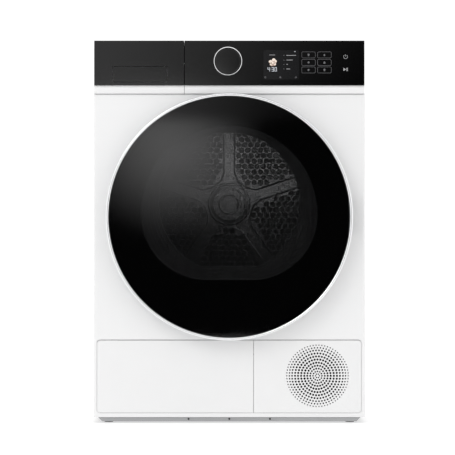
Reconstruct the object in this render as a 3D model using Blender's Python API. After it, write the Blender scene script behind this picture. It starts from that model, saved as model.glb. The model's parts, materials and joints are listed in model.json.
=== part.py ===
"""Free-standing heat-pump clothes dryer, 60 cm wide, as an assembly of separate pieces.

Metres, +Z up, front facing -Y. The origin is on the floor, under the middle of the machine.
Every piece is one closed solid; neighbouring pieces keep a small gap to each other.
"""
import math

import bmesh
import bpy
from mathutils import Matrix, Vector

# ---- Driving dimensions (metres) ----
GAP = 0.0003
HALF_WIDTH = 0.300
HALF_DEPTH = 0.325
HEIGHT = 0.845
SHEET = 0.001
FRONT_Y = -0.283
REAR_Y = 0.2868

# Base and feet
TRAY_BOTTOM = 0.0035
TRAY_FLOOR = 0.0120
TRAY_WALL_TOP = 0.040
FOOT_X = 0.268
FOOT_Y = 0.245
FOOT_RADIUS = 0.0105
STEM_RADIUS = 0.005

# Panels
PANEL_BOTTOM = 0.0125
PANEL_TOP = 0.7265
SIDE_TOP = 0.8285
PANEL_RETURN = 0.008
PLINTH_X = (-0.2930, 0.2925)
PLINTH_Z = (0.0218, 0.1838)
FLAP_X = (-0.2925, 0.0530)
GRILLE_X = (0.0545, 0.2920)
INSERT_Z = (0.0224, 0.1825)
INSERT_DEPTH = 0.0035
INSERT_CORNER = 0.008
FLAP_AXIS_Z = 0.0262

# Control band and tank drawer
BAND_Z = (0.7460, 0.8448)
BAND_Y = (-0.2890, -0.2857)
STRIP_BOTTOM = 0.7275
CARRIER_TOP = 0.8440
CARRIER_REAR = -0.2620
DRAWER_X = (-0.2985, -0.1003)
CONTROL_X = (-0.0985, 0.2985)
GRIP_X = (-0.258, -0.137)
GRIP_Z = (0.753, 0.788)
KNOB = (-0.003, 0.7985)
KNOB_RADIUS = 0.0316

# Door
DOOR_Z = 0.4555
DOOR_RADIUS = 0.272
GLASS_RADIUS = 0.2652
DOOR_BACK = -0.289
DOOR_SIDES = 48
HINGE = (0.262, -0.306)
HINGE_HALF = 0.030
HOOK_X = -0.235
OPENING_RADIUS = 0.215

# D-shaped mouth: a semicircle above, two smaller quarter circles and a flat below
MOUTH_Z = 0.461
MOUTH_TOP_RADIUS = 0.194
MOUTH_LOW_RADIUS = 0.144
MOUTH_HALF_FLAT = MOUTH_TOP_RADIUS - MOUTH_LOW_RADIUS

# Drum
DRUM_Z = 0.488
DRUM_RADIUS = 0.283
DRUM_WALL = 0.0015
DRUM_SIDES = 40
NECK_RADIUS = 0.262
DRUM_Y = (-0.215, 0.262)
SHOULDER_Y = -0.195
BACK_Y = 0.2520
LIFTER_HEIGHT = 0.045
ROLLER_RADIUS = 0.020
ROLLER_ANGLE = math.radians(35)
ROLLER_Y = (-0.213, -0.199)
PIN_RADIUS = 0.004
BULKHEAD_Y = (-0.2245, -0.2220)
FUNNEL_FRONT = (-0.2808, 0.0050)
FUNNEL_REAR = (-0.2080, -0.0260)
FUNNEL_WALL = 0.0025

# Drive
MOTOR = (0.115, 0.115)
PULLEY_RADIUS = 0.0115
IDLER = (0.020, 0.1424)
IDLER_RADIUS = 0.015
PIVOT = (0.055, 0.060)
BELT_Y = (0.0110, 0.0190)
PULLEY_Y = (0.0095, 0.0205)
BELT_THICKNESS = 0.002
SHAFT_RADIUS = 0.005
BRACKET_Y = (0.0300, 0.0330)

# Heat pump and air path
CHAMBER_X = (-0.2550, 0.0250)
CHAMBER_Y = (-0.2560, 0.0080)
CHAMBER_TOP = 0.175
COMPRESSOR = (0.205, -0.100)
FAN = (0.195, 0.104)
FAN_FRAME_HALF = 0.066
FILTER_HALF = 0.118
FILTER_Y = (-0.2520, -0.2340)
FILTER_Z = (0.215, 0.340)
SLOT_HALF = 0.1205
SLOT_Y = (-0.2545, -0.2252)
SLOT_TOP = 0.3600

# Water tank
TANK_X = (-0.280, -0.108)
TANK_Y = (-0.2590, 0.2200)
TANK_Z = (0.7640, 0.8220)
WALL = 0.0025

# ---- Colours ----
WHITE = (0.86, 0.87, 0.88)
BLACK = (0.012, 0.012, 0.013)
STEEL = (0.62, 0.63, 0.65)
DARK_GREY = (0.05, 0.05, 0.055)
MID_GREY = (0.32, 0.33, 0.34)
COPPER = (0.72, 0.35, 0.2)
BOARD_GREEN = (0.02, 0.12, 0.05)
CLEAR_GREY = (0.35, 0.38, 0.40)


# ---- Outlines: lists of (u, v) points ----
def arc(centre, radius, start, end, count):
    step = (end - start) / count
    return [
        (centre[0] + radius * math.cos(start + step * i), centre[1] + radius * math.sin(start + step * i))
        for i in range(count + 1)
    ]


def circle(centre, radius, count):
    return arc(centre, radius, 0.0, math.tau, count)[:-1]


def rectangle(u, v):
    return [(u[0], v[0]), (u[1], v[0]), (u[1], v[1]), (u[0], v[1])]


def rounded_rectangle(u, v, radius, count=5):
    quarter = math.pi / 2
    corners = [(u[1] - radius, v[1] - radius), (u[0] + radius, v[1] - radius),
               (u[0] + radius, v[0] + radius), (u[1] - radius, v[0] + radius)]
    points = []
    for index, corner in enumerate(corners):
        points += arc(corner, radius, quarter * index, quarter * (index + 1), count)
    return points


def mouth_outline(offset):
    low = MOUTH_LOW_RADIUS + offset
    upper = arc((0, MOUTH_Z), MOUTH_TOP_RADIUS + offset, 0, math.pi, 16)
    left = arc((-MOUTH_HALF_FLAT, MOUTH_Z), low, math.pi, 1.5 * math.pi, 6)
    right = arc((MOUTH_HALF_FLAT, MOUTH_Z), low, 1.5 * math.pi, math.tau, 6)
    return upper + left[1:] + right[:-1]


def toothed_circle(centre, inner, outer, teeth, fill=0.45, sweep=0.0):
    points = []
    pitch = math.tau / teeth
    for index in range(teeth):
        start = index * pitch
        marks = [(inner, 0.0), (outer, sweep), (outer, sweep + fill * pitch), (inner, fill * pitch)]
        for radius, turn in marks:
            angle = start + turn
            points.append((centre[0] + radius * math.cos(angle), centre[1] + radius * math.sin(angle)))
    return points


def comb_outline(u, v, fins, depth):
    pitch = (u[1] - u[0]) / (2 * fins + 1)
    front = []
    for index in range(2 * fins + 1):
        level = v[0] if index % 2 == 0 else v[0] + depth
        front.append((u[0] + index * pitch, level))
        front.append((u[0] + (index + 1) * pitch, level))
    return front + [(u[1], v[1]), (u[0], v[1])]


# ---- Solids ----
def to_world(u, v, w, axis):
    return {"x": (w, u, v), "y": (u, w, v), "z": (u, v, w)}[axis]


def skin(loops, closed=False):
    """Bridge equal loops of points; the ends are capped unless the last loop meets the first."""
    bm = bmesh.new()
    rings = [[bm.verts.new(point) for point in loop] for loop in loops]
    pairs = list(zip(rings, rings[1:]))
    if closed:
        pairs.append((rings[-1], rings[0]))
    for first, second in pairs:
        for index in range(len(first)):
            following = (index + 1) % len(first)
            bm.faces.new((first[index], first[following], second[following], second[index]))
    if not closed:
        bm.faces.new(rings[0])
        bm.faces.new(rings[-1])
    bmesh.ops.recalc_face_normals(bm, faces=bm.faces)
    return bm


def prism(outline, span, axis="y"):
    return skin([[to_world(u, v, level, axis) for u, v in outline] for level in span])


def block(x, y, z):
    return prism(rectangle(x, y), z, "z")


def cylinder(centre, radius, span, axis="y", count=24):
    return prism(circle(centre, radius, count), span, axis)


def turned(profile, centre, axis="y", count=48, closed=False):
    """Turn (radius, along) points about an axis; closed is for a ring with a bore."""
    loops = [[to_world(u, v, along, axis) for u, v in circle(centre, radius, count)]
             for radius, along in profile]
    return skin(loops, closed)


def ring(outer, inner, span, axis="y"):
    """A prism with a hole, from two outlines of equal length."""
    corners = [(outer, span[0]), (outer, span[1]), (inner, span[1]), (inner, span[0])]
    loops = [[to_world(u, v, level, axis) for u, v in outline] for outline, level in corners]
    return skin(loops, closed=True)


# ---- Objects ----
def clear_scene():
    for obj in list(bpy.data.objects):
        bpy.data.objects.remove(obj, do_unlink=True)


def material(name, colour, roughness, metallic):
    mat = bpy.data.materials.new(name)
    mat.use_nodes = True
    shader = mat.node_tree.nodes["Principled BSDF"]
    shader.inputs["Base Color"].default_value = (*colour, 1)
    shader.inputs["Roughness"].default_value = roughness
    shader.inputs["Metallic"].default_value = metallic
    return mat


def link_mesh(name, bm, origin=(0, 0, 0)):
    mesh = bpy.data.meshes.new(name)
    bm.to_mesh(mesh)
    bm.free()
    mesh.transform(Matrix.Translation(-Vector(origin)))
    obj = bpy.data.objects.new(name, mesh)
    obj.location = origin
    bpy.context.scene.collection.objects.link(obj)
    return obj


def piece(name, bm, colour, roughness=0.45, metallic=0.0, origin=(0, 0, 0)):
    obj = link_mesh(name, bm, origin)
    obj.data.shade_smooth()
    obj.data.set_sharp_from_angle(angle=math.radians(32))
    obj.data.materials.append(material(name, colour, roughness, metallic))
    return obj


def combine(obj, bm, operation):
    tool = link_mesh(f"{obj.name}_tool_{len(obj.modifiers) + 1}", bm)
    tool.hide_render = True
    tool.display_type = "WIRE"
    modifier = obj.modifiers.new(operation.title(), "BOOLEAN")
    modifier.operation = operation
    modifier.solver = "EXACT"
    modifier.object = tool


def cut(obj, *shapes):
    for bm in shapes:
        combine(obj, bm, "DIFFERENCE")


def join(obj, *shapes):
    for bm in shapes:
        combine(obj, bm, "UNION")


def cut_many(obj, shapes):
    """Cut one tool made of many bodies that don't touch."""
    merged = bmesh.new()
    for bm in shapes:
        scratch = bpy.data.meshes.new("scratch")
        bm.to_mesh(scratch)
        bm.free()
        merged.from_mesh(scratch)
        bpy.data.meshes.remove(scratch)
    combine(obj, merged, "DIFFERENCE")


def smooth_route(points, steps):
    """Points on a Catmull-Rom curve through the given ones."""
    ends = [points[0]] + points + [points[-1]]
    route = []
    for index in range(1, len(ends) - 2):
        p0, p1, p2, p3 = (Vector(ends[index + k]) for k in (-1, 0, 1, 2))
        for step in range(steps):
            t = step / steps
            route.append(0.5 * (2 * p1 + (p2 - p0) * t + (2 * p0 - 5 * p1 + 4 * p2 - p3) * t * t
                                + (3 * p1 - p0 - 3 * p2 + p3) * t ** 3))
    route.append(Vector(points[-1]))
    return route


def tube(name, points, radius, colour, metallic=0.0, roughness=0.5, steps=5):
    curve = bpy.data.curves.new(name, "CURVE")
    curve.dimensions = "3D"
    curve.bevel_depth = radius
    curve.bevel_resolution = 2
    curve.render_resolution_u = 0
    curve.use_fill_caps = True
    route = smooth_route(points, steps)
    spline = curve.splines.new("POLY")
    spline.points.add(len(route) - 1)
    for target, point in zip(spline.points, route):
        target.co = (*point, 1)
    obj = bpy.data.objects.new(name, curve)
    curve.materials.append(material(name, colour, roughness, metallic))
    bpy.context.scene.collection.objects.link(obj)


def inset(span, amount):
    return (span[0] + amount, span[1] - amount)


def around(centre, half):
    return (centre - half, centre + half)


# ---- Cabinet ----
def make_base_tray():
    bottom_x = around(0, 0.2815)
    top_x = around(0, 0.2895)
    y = (-0.2815, 0.2840)
    plate = skin([
        [(u, v, TRAY_BOTTOM) for u, v in rectangle(bottom_x, y)],
        [(u, v, TRAY_FLOOR) for u, v in rectangle(top_x, y)],
    ])
    obj = piece("base_tray", plate, MID_GREY, 0.6)
    wall_x = around(0, 0.287)
    wall_y = (-0.270, 0.2835)
    sink = 0.002
    join(obj, ring(rectangle(wall_x, wall_y), rectangle(inset(wall_x, WALL), inset(wall_y, WALL)),
                   (TRAY_FLOOR - sink, TRAY_WALL_TOP), "z"))
    join(obj, block(CHAMBER_X, CHAMBER_Y, (TRAY_FLOOR - sink, CHAMBER_TOP)))
    room_x = inset(CHAMBER_X, WALL)
    room_y = inset(CHAMBER_Y, WALL)
    cut(obj, block(room_x, room_y, (TRAY_FLOOR, CHAMBER_TOP - WALL)))
    cut(obj, block((-0.242, 0.012), (-0.260, -0.252), (0.052, 0.162)))
    cut(obj, block((-0.1180, 0.0200), (-0.2520, -0.2270), (0.170, 0.180)))
    cut(obj, block((-0.0900, 0.0150), (0.0040, 0.0100), (0.050, 0.150)))
    feet = [(x * FOOT_X, y_side * FOOT_Y) for x in (-1, 1) for y_side in (-1, 1)]
    boss_top = 0.034
    for foot in feet:
        join(obj, cylinder(foot, 0.0095, (TRAY_FLOOR - sink, boss_top), "z", 16))
    cut_many(obj, [cylinder(foot, FOOT_RADIUS + 0.0004, (0.0, 0.0100), "z", 16) for foot in feet])
    cut_many(obj, [cylinder(foot, STEM_RADIUS + 0.0005, (0.008, boss_top + sink), "z", 12) for foot in feet])


def make_feet():
    profile = [(0.0090, 0.0), (FOOT_RADIUS, 0.0012), (FOOT_RADIUS, 0.0095),
               (STEM_RADIUS, 0.0097), (STEM_RADIUS, 0.030)]
    sides = {"left": -1, "right": 1}
    ends = {"front": -1, "rear": 1}
    for end, y_sign in ends.items():
        for side, x_sign in sides.items():
            centre = (x_sign * FOOT_X, y_sign * FOOT_Y)
            piece(f"foot_{end}_{side}", turned(profile, centre, "z", 16), DARK_GREY, 0.7,
                  origin=(*centre, 0))


def make_side_panels():
    lip = 0.015
    y0, y1 = -0.2745, 0.2855
    for name, sign in (("left_side_panel", -1), ("right_side_panel", 1)):
        outer = sign * HALF_WIDTH
        inner = sign * (HALF_WIDTH - SHEET)
        tip = sign * (HALF_WIDTH - lip)
        outline = [(outer, y0), (outer, y1), (tip, y1), (tip, y1 - SHEET), (inner, y1 - SHEET),
                   (inner, y0 + SHEET), (tip, y0 + SHEET), (tip, y0)]
        obj = piece(name, prism(outline, (PANEL_BOTTOM, SIDE_TOP), "z"), WHITE, 0.35)
        notch_y = (-0.280, CARRIER_REAR + 0.0005)
        cut(obj, block(around(outer, 0.020), notch_y, (PANEL_TOP + GAP, SIDE_TOP + 0.01)))


def make_front_panel():
    x = around(0, HALF_WIDTH)
    z = (PANEL_BOTTOM, PANEL_TOP)
    obj = piece("front_panel", block(x, (FRONT_Y, FRONT_Y + PANEL_RETURN), z), WHITE, 0.35)
    cut(obj, block(inset(x, SHEET), (FRONT_Y + SHEET, -0.270), inset(z, SHEET)))
    through = (-0.290, -0.278)
    cut(obj, cylinder((0, DOOR_Z), OPENING_RADIUS, through, count=48))
    cut(obj, prism(rounded_rectangle(PLINTH_X, PLINTH_Z, INSERT_CORNER, 3), through))
    cut(obj, block((HOOK_X - 0.0085, HOOK_X + 0.0085), through, around(DOOR_Z, 0.012)))


def make_grille_panel():
    y = (FRONT_Y, FRONT_Y + INSERT_DEPTH)
    plate = prism(rounded_rectangle(GRILLE_X, INSERT_Z, INSERT_CORNER, 3), y)
    obj = piece("grille_panel", plate, WHITE, 0.4)
    ring_pitch = 0.024
    holes = []
    for number in range(1, 3):
        for centre in circle(FAN, ring_pitch * number, 6 * number):
            holes.append(cylinder(centre, 0.0055, (y[0] - 0.002, y[1] + 0.002), count=6))
    cut_many(obj, holes)


def make_rear_panel():
    y = (REAR_Y - SHEET, REAR_Y)
    through = (y[0] - 0.003, y[1] + 0.003)
    obj = piece("rear_panel", block(around(0, 0.2985), y, (0.030, SIDE_TOP)), STEEL, 0.4, 0.9)
    axis = (0, DRUM_Z)
    holes = [cylinder(centre, 0.025, through, count=8) for centre in circle(axis, 0.155, 12)]
    holes += [cylinder(centre, 0.022, through, count=8) for centre in circle(axis, 0.090, 6)]
    holes.append(cylinder(axis, 0.020, through, count=16))
    holes.append(cylinder(MOTOR, 0.040, through, count=16))
    cut_many(obj, holes)


def hull_of_circles(first, first_radius, second, second_radius, count):
    """Outline of a band round two circles; the first lies above the second."""
    run = Vector(second) - Vector(first)
    along = math.atan2(run.y, run.x)
    lean = math.acos((first_radius - second_radius) / run.length)
    wide = arc(first, first_radius, along + lean, along + math.tau - lean, count)
    narrow = arc(second, second_radius, along - lean, along + lean, count // 2)
    return wide + narrow


def make_rear_duct_cover():
    def outline(offset):
        return hull_of_circles((0, DRUM_Z), 0.235 + offset, MOTOR, 0.062 + offset, 24)

    base = REAR_Y + GAP
    top = HALF_DEPTH
    wall = 0.0015
    steps = [(0.012, base), (0.012, base + wall), (0.0, base + wall), (-0.012, top - 0.002), (-0.014, top)]
    bm = skin([[to_world(u, v, level, "y") for u, v in outline(offset)] for offset, level in steps])
    obj = piece("rear_duct_cover", bm, STEEL, 0.4, 0.9)
    hollow = skin([[to_world(u, v, level, "y") for u, v in outline(offset)]
                   for offset, level in ((-0.0008, base - 0.002), (-0.016, top - wall))])
    cut(obj, hollow)


def make_top_cover():
    x = around(0, HALF_WIDTH)
    y = (-0.2610, REAR_Y)
    bevel = 0.002
    base = SIDE_TOP + 0.0005
    levels = [(bevel, base), (0.0, base + bevel), (0.0, HEIGHT - bevel), (bevel, HEIGHT)]
    loops = [[(u, v, z) for u, v in rectangle(inset(x, edge), inset(y, edge))] for edge, z in levels]
    piece("top_cover", skin(loops), WHITE, 0.35)


def make_cord_gland():
    profile = [(0.010, REAR_Y + GAP), (0.013, REAR_Y + 0.0015), (0.013, REAR_Y + 0.004),
               (0.009, REAR_Y + 0.010), (0.0045, REAR_Y + 0.012), (0.0045, REAR_Y + GAP)]
    piece("cord_gland", turned(profile, (-0.235, 0.075), count=16, closed=True), BLACK, 0.6)


# ---- Controls and tank drawer ----
def make_control_housing():
    strip_y = -0.2880
    face_y = BAND_Y[1] + GAP
    outline = [(strip_y, STRIP_BOTTOM), (strip_y, 0.7455), (face_y, 0.7455), (face_y, CARRIER_TOP),
               (CARRIER_REAR, CARRIER_TOP), (CARRIER_REAR, STRIP_BOTTOM)]
    obj = piece("control_housing", prism(outline, CONTROL_X, "x"), WHITE, 0.4)
    room_z = (STRIP_BOTTOM + WALL, CARRIER_TOP - WALL)
    cut(obj, block(inset(CONTROL_X, WALL), (face_y + WALL, -0.2500), room_z))
    cut(obj, cylinder(KNOB, 0.0050, (-0.292, -0.278), count=16))


def make_control_fascia():
    obj = piece("control_fascia", block(CONTROL_X, BAND_Y, BAND_Z), BLACK, 0.15)
    cut(obj, cylinder(KNOB, 0.0050, (-0.292, -0.282), count=16))


def make_control_board():
    obj = piece("control_board", block((0.030, 0.285), (-0.2775, -0.2760), (0.735, 0.836)), BOARD_GREEN, 0.5)
    parts = [((0.055, 0.085), (0.745, 0.775)), ((0.110, 0.150), (0.800, 0.825)),
             ((0.190, 0.235), (0.750, 0.790))]
    for x, z in parts:
        join(obj, block(x, (-0.2765, -0.2660), z))


def make_knob():
    ring_profile = [(0.0286, -0.2893), (0.0286, -0.3068), (0.0300, -0.3085), (KNOB_RADIUS, -0.3070),
                    (KNOB_RADIUS, -0.2893)]
    centre = (KNOB[0], -0.2893, KNOB[1])
    piece("knob_ring", turned(ring_profile, KNOB, count=24, closed=True), STEEL, 0.15, 1.0, centre)
    cap_profile = [(0.006, -0.3100), (0.020, -0.3090), (0.0270, -0.3070), (0.0282, -0.3055),
                   (0.0282, -0.2893), (0.0040, -0.2893), (0.0040, -0.2790)]
    piece("knob_cap", turned(cap_profile, KNOB, count=24), BLACK, 0.2, 0.0, centre)


def make_tank_front():
    strip_y = -0.2880
    face_y = BAND_Y[1] + GAP
    rear_y = -0.2754
    lip_y = CARRIER_REAR
    lip_z = 0.8410
    outline = [(strip_y, STRIP_BOTTOM), (strip_y, 0.7455), (face_y, 0.7455), (face_y, CARRIER_TOP),
               (lip_y, CARRIER_TOP), (lip_y, lip_z), (rear_y, lip_z), (rear_y, STRIP_BOTTOM)]
    obj = piece("tank_front", prism(outline, DRAWER_X, "x"), WHITE, 0.4)
    join(obj, block((DRAWER_X[0], DRAWER_X[0] + WALL), (-0.2780, lip_y), (STRIP_BOTTOM, lip_z + 0.001)))
    pocket_x = inset(GRIP_X, 0.0005)
    pocket_z = (GRIP_Z[0] + 0.0005, GRIP_Z[1] + 0.0015)
    pocket_y = -0.2600
    join(obj, block(inset(pocket_x, -WALL), (-0.2780, pocket_y), inset(pocket_z, -WALL)))
    cut(obj, block(pocket_x, (-0.290, pocket_y - WALL), pocket_z))


def make_tank_fascia():
    obj = piece("tank_fascia", block(DRAWER_X, BAND_Y, BAND_Z), BLACK, 0.15)
    cut(obj, prism(rounded_rectangle(GRIP_X, GRIP_Z, 0.002, 2), (-0.292, -0.282)))


def make_grip_flap():
    x = inset(GRIP_X, 0.0008)
    z = inset(GRIP_Z, 0.0008)
    y = (BAND_Y[0], BAND_Y[0] + 0.0024)
    axis = (0, BAND_Y[0] + 0.0015, z[1] - 0.0015)
    obj = piece("grip_flap", block(x, y, z), BLACK, 0.15, 0.0, axis)
    join(obj, cylinder((axis[1], axis[2]), 0.0014, x, "x", 10))


def make_water_tank():
    obj = piece("water_tank", block(TANK_X, TANK_Y, TANK_Z), CLEAR_GREY, 0.3)
    cut(obj, block(inset(TANK_X, WALL), inset(TANK_Y, WALL), inset(TANK_Z, WALL)))
    cut(obj, cylinder((-0.194, -0.200), 0.022, (TANK_Z[1] - 0.005, TANK_Z[1] + 0.005), "z", 20))


# ---- Front bulkhead, filter, door fittings ----

def make_front_bulkhead():
    outline = rounded_rectangle((-0.288, 0.288), (0.205, 0.760), 0.060, 5)
    obj = piece("front_bulkhead", prism(outline, BULKHEAD_Y), MID_GREY, 0.5)
    slope = (FUNNEL_REAR[1] - FUNNEL_FRONT[1]) / (FUNNEL_REAR[0] - FUNNEL_FRONT[0])
    middle = sum(BULKHEAD_Y) / 2
    hole = FUNNEL_FRONT[1] + slope * (middle - FUNNEL_FRONT[0]) + FUNNEL_WALL / 2
    cut(obj, prism(mouth_outline(hole), (BULKHEAD_Y[0] - 0.01, BULKHEAD_Y[1] + 0.01)))
    corners = [(FUNNEL_FRONT[1], FUNNEL_FRONT[0]), (FUNNEL_REAR[1], FUNNEL_REAR[0]),
               (FUNNEL_REAR[1] + FUNNEL_WALL, FUNNEL_REAR[0]),
               (FUNNEL_FRONT[1] + FUNNEL_WALL, FUNNEL_FRONT[0])]
    loops = [[to_world(u, v, y, "y") for u, v in mouth_outline(offset)] for offset, y in corners]
    join(obj, skin(loops, closed=True))
    duct = [(-0.2570, 0.2050), (-0.2570, 0.3205), (middle, 0.3352), (middle, 0.2050)]
    join(obj, prism(duct, (-0.1235, 0.1235), "x"))
    cut(obj, block(around(0, SLOT_HALF), SLOT_Y, (0.200, SLOT_TOP)))
    for side in (-1, 1):
        join(obj, cylinder(roller_centre(side), PIN_RADIUS, (middle, ROLLER_Y[1] + 0.001), count=12))


def roller_centre(side):
    reach = NECK_RADIUS + ROLLER_RADIUS + GAP
    return (side * reach * math.sin(ROLLER_ANGLE), DRUM_Z - reach * math.cos(ROLLER_ANGLE))


def make_rollers():
    for name, side in (("roller_left", -1), ("roller_right", 1)):
        centre = roller_centre(side)
        bore = PIN_RADIUS + GAP
        shape = turned([(bore, ROLLER_Y[0]), (ROLLER_RADIUS, ROLLER_Y[0]), (ROLLER_RADIUS, ROLLER_Y[1]),
                        (bore, ROLLER_Y[1])], centre, count=20, closed=True)
        piece(name, shape, DARK_GREY, 0.7, 0.0, (centre[0], ROLLER_Y[0], centre[1]))


def make_door_seal():
    piece("door_seal", ring(mouth_outline(0.009), mouth_outline(0.003), (-0.2885, FUNNEL_FRONT[0] - GAP)),
          DARK_GREY, 0.8)


def make_door_lock():
    case = block(around(HOOK_X, 0.0135), (-0.2815, -0.2550), around(DOOR_Z, 0.030))
    obj = piece("door_lock", case, MID_GREY, 0.5)
    cut(obj, block(around(HOOK_X, 0.0095), (-0.2840, -0.2590), around(DOOR_Z, 0.0125)))


def make_lint_filter():
    obj = piece("lint_filter", block(around(0, FILTER_HALF), FILTER_Y, FILTER_Z), MID_GREY, 0.5)
    inner_y = inset(FILTER_Y, WALL)
    cut(obj, block(around(0, 0.112), inner_y, (FILTER_Z[0] + 0.006, FILTER_Z[1] - 0.006)))
    for x in ((-0.049, -0.014), (0.014, 0.049)):
        cut(obj, block(x, inset(inner_y, 0.001), (FILTER_Z[1] - 0.010, FILTER_Z[1] + 0.005)))


# ---- Door ----
def make_door_ring():
    front = -HALF_DEPTH
    profile = [(0.2655, front + 0.0025), (0.2675, front), (0.2705, front), (DOOR_RADIUS, front + 0.0015),
               (DOOR_RADIUS, -0.3000), (0.2620, DOOR_BACK), (0.2600, DOOR_BACK - 0.0008), (0.2695, -0.3010),
               (0.2695, -0.3185), (0.2655, -0.3185)]
    obj = piece("door_ring", turned(profile, (0, DOOR_Z), count=DOOR_SIDES, closed=True), WHITE, 0.3)
    obj.location = (HINGE[0], HINGE[1], DOOR_Z)
    obj.data.transform(Matrix.Translation((-HINGE[0], -HINGE[1], -DOOR_Z)))
    cut(obj, block((0.250, 0.280), (-0.3175, -0.280), around(DOOR_Z, 0.036)))


def make_door_glass():
    profile = [(0.050, -0.3248), (0.170, -0.3242), (0.2500, -0.3226), (GLASS_RADIUS, -0.3215),
               (GLASS_RADIUS, -0.3195)]
    piece("door_glass", turned(profile, (0, DOOR_Z), count=DOOR_SIDES), BLACK, 0.05, 0.0, (*HINGE, DOOR_Z))


def make_door_frame():
    radius = 0.2585
    front = -0.3190
    wall = 0.002
    shape = turned([(radius, front), (radius, DOOR_BACK)], (0, DOOR_Z), count=DOOR_SIDES)
    obj = piece("door_frame", shape, BLACK, 0.5, 0.0, (*HINGE, DOOR_Z))
    hollow = [(radius - wall, front - 0.002), (radius - wall, DOOR_BACK - WALL)]
    cut(obj, turned(hollow, (0, DOOR_Z), count=DOOR_SIDES))
    join(obj, prism(mouth_outline(0.0035), (-0.3160, DOOR_BACK - 0.001)))
    cut(obj, prism(mouth_outline(0.0005), (-0.3300, -0.2800)))
    cut(obj, block((0.2485, 0.2700), (-0.3300, -0.2800), around(DOOR_Z, 0.036)))


def make_door_bowl():
    steps = [(-0.0160, -0.2620), (-0.0040, -0.2800), (0.0, DOOR_BACK), (0.0, -0.3185),
             (-0.0040, -0.3185), (-0.0040, -0.2895), (-0.0080, -0.2830), (-0.0200, -0.2660)]
    loops = [[to_world(u, v, y, "y") for u, v in mouth_outline(offset)] for offset, y in steps]
    piece("door_bowl", skin(loops), CLEAR_GREY, 0.1, 0.0, (*HINGE, DOOR_Z))


def make_door_hook():
    outline = [(-0.2370, DOOR_BACK + GAP), (-0.2330, DOOR_BACK + GAP), (-0.2330, -0.2700),
               (-0.2290, -0.2680), (-0.2350, -0.2620), (-0.2370, -0.2640)]
    piece("door_hook", prism(outline, around(DOOR_Z, 0.008), "z"), WHITE, 0.4, 0.0, (*HINGE, DOOR_Z))


def make_hinge():
    fixed_half = 0.0120
    knuckle = 0.0040
    plate = block((0.250, 0.271), (-0.2855, FRONT_Y - GAP), around(DOOR_Z, 0.034))
    obj = piece("hinge_bracket", plate, STEEL, 0.3, 1.0)
    join(obj, block(around(HINGE[0], 0.003), (HINGE[1], -0.2840), around(DOOR_Z, fixed_half)))
    join(obj, cylinder(HINGE, knuckle, around(DOOR_Z, fixed_half), "z", 16))
    cut(obj, cylinder(HINGE, 0.0022, around(DOOR_Z, 0.020), "z", 12))

    leaf = [(HINGE[0], -0.3095), (0.2400, -0.3095), (0.2400, -0.2918), (0.2430, -0.2918),
            (0.2430, -0.3065), (HINGE[0], -0.3065)]
    origin = (*HINGE, DOOR_Z)
    arm = piece("door_hinge_arm", prism(leaf, around(DOOR_Z, HINGE_HALF), "z"), STEEL, 0.3, 1.0, origin)
    join(arm, cylinder(HINGE, knuckle, around(DOOR_Z, HINGE_HALF), "z", 16))
    cut(arm, block((0.2560, 0.2700), (-0.3150, -0.3000), around(DOOR_Z, fixed_half + 0.0005)))
    cut(arm, cylinder(HINGE, 0.0022, around(DOOR_Z, 0.040), "z", 12))

    top = DOOR_Z + HINGE_HALF
    profile = [(0.0019, DOOR_Z - HINGE_HALF - 0.001), (0.0019, top + GAP), (0.0034, top + GAP),
               (0.0034, top + 0.002)]
    piece("hinge_pin", turned(profile, HINGE, "z", 12), STEEL, 0.2, 1.0)


# ---- Drum ----
def make_drum_shell():
    outer, neck = DRUM_RADIUS, NECK_RADIUS
    profile = [(neck, DRUM_Y[0]), (neck, SHOULDER_Y), (outer, SHOULDER_Y + 0.002), (outer, DRUM_Y[1]),
               (outer - DRUM_WALL, DRUM_Y[1]), (outer - DRUM_WALL, SHOULDER_Y + 0.0035),
               (neck - DRUM_WALL, SHOULDER_Y + 0.0015), (neck - DRUM_WALL, DRUM_Y[0])]
    shape = turned(profile, (0, DRUM_Z), count=DRUM_SIDES, closed=True)
    piece("drum_shell", shape, STEEL, 0.3, 1.0, (0, 0, DRUM_Z))


def make_drum_back():
    rim = DRUM_RADIUS - DRUM_WALL - GAP - 0.0007
    axle = 0.0117
    profile = [(0.014, BACK_Y - 0.012), (0.038, BACK_Y - 0.009), (0.048, BACK_Y - 0.004), (0.050, BACK_Y),
               (rim, BACK_Y), (rim, BACK_Y + 0.0025), (0.018, BACK_Y + 0.0025), (axle, BACK_Y + 0.004),
               (axle, 0.2990)]
    obj = piece("drum_back", turned(profile, (0, DRUM_Z), count=DRUM_SIDES), STEEL, 0.3, 1.0, (0, 0, DRUM_Z))
    holes = []
    sectors = 5
    rows = [(0.115, (0.0,)), (0.190, (-0.26, 0.26))]
    for sector in range(sectors):
        middle = -math.pi / 2 + sector * math.tau / sectors
        for radius, turns in rows:
            for turn in turns:
                centre = (radius * math.cos(middle + turn), DRUM_Z + radius * math.sin(middle + turn))
                holes.append(cylinder(centre, 0.018, (BACK_Y - 0.004, BACK_Y + 0.006), count=8))
    cut_many(obj, holes)


def make_drum_lifters():
    lifters = 3
    half_angle = math.radians(8.5)
    seat = DRUM_RADIUS - DRUM_WALL - GAP - 0.0010
    tip = seat - LIFTER_HEIGHT
    for index in range(lifters):
        middle = math.pi / 2 + index * math.tau / lifters
        base = arc((0, DRUM_Z), seat, middle - half_angle, middle + half_angle, 4)
        crest = arc((0, DRUM_Z), tip, middle + 0.035, middle - 0.035, 2)
        shape = prism(base + crest, (-0.170, 0.2480))
        piece(f"drum_lifter_{index + 1}", shape, MID_GREY, 0.4, 0.0, (0, 0, DRUM_Z))


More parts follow.
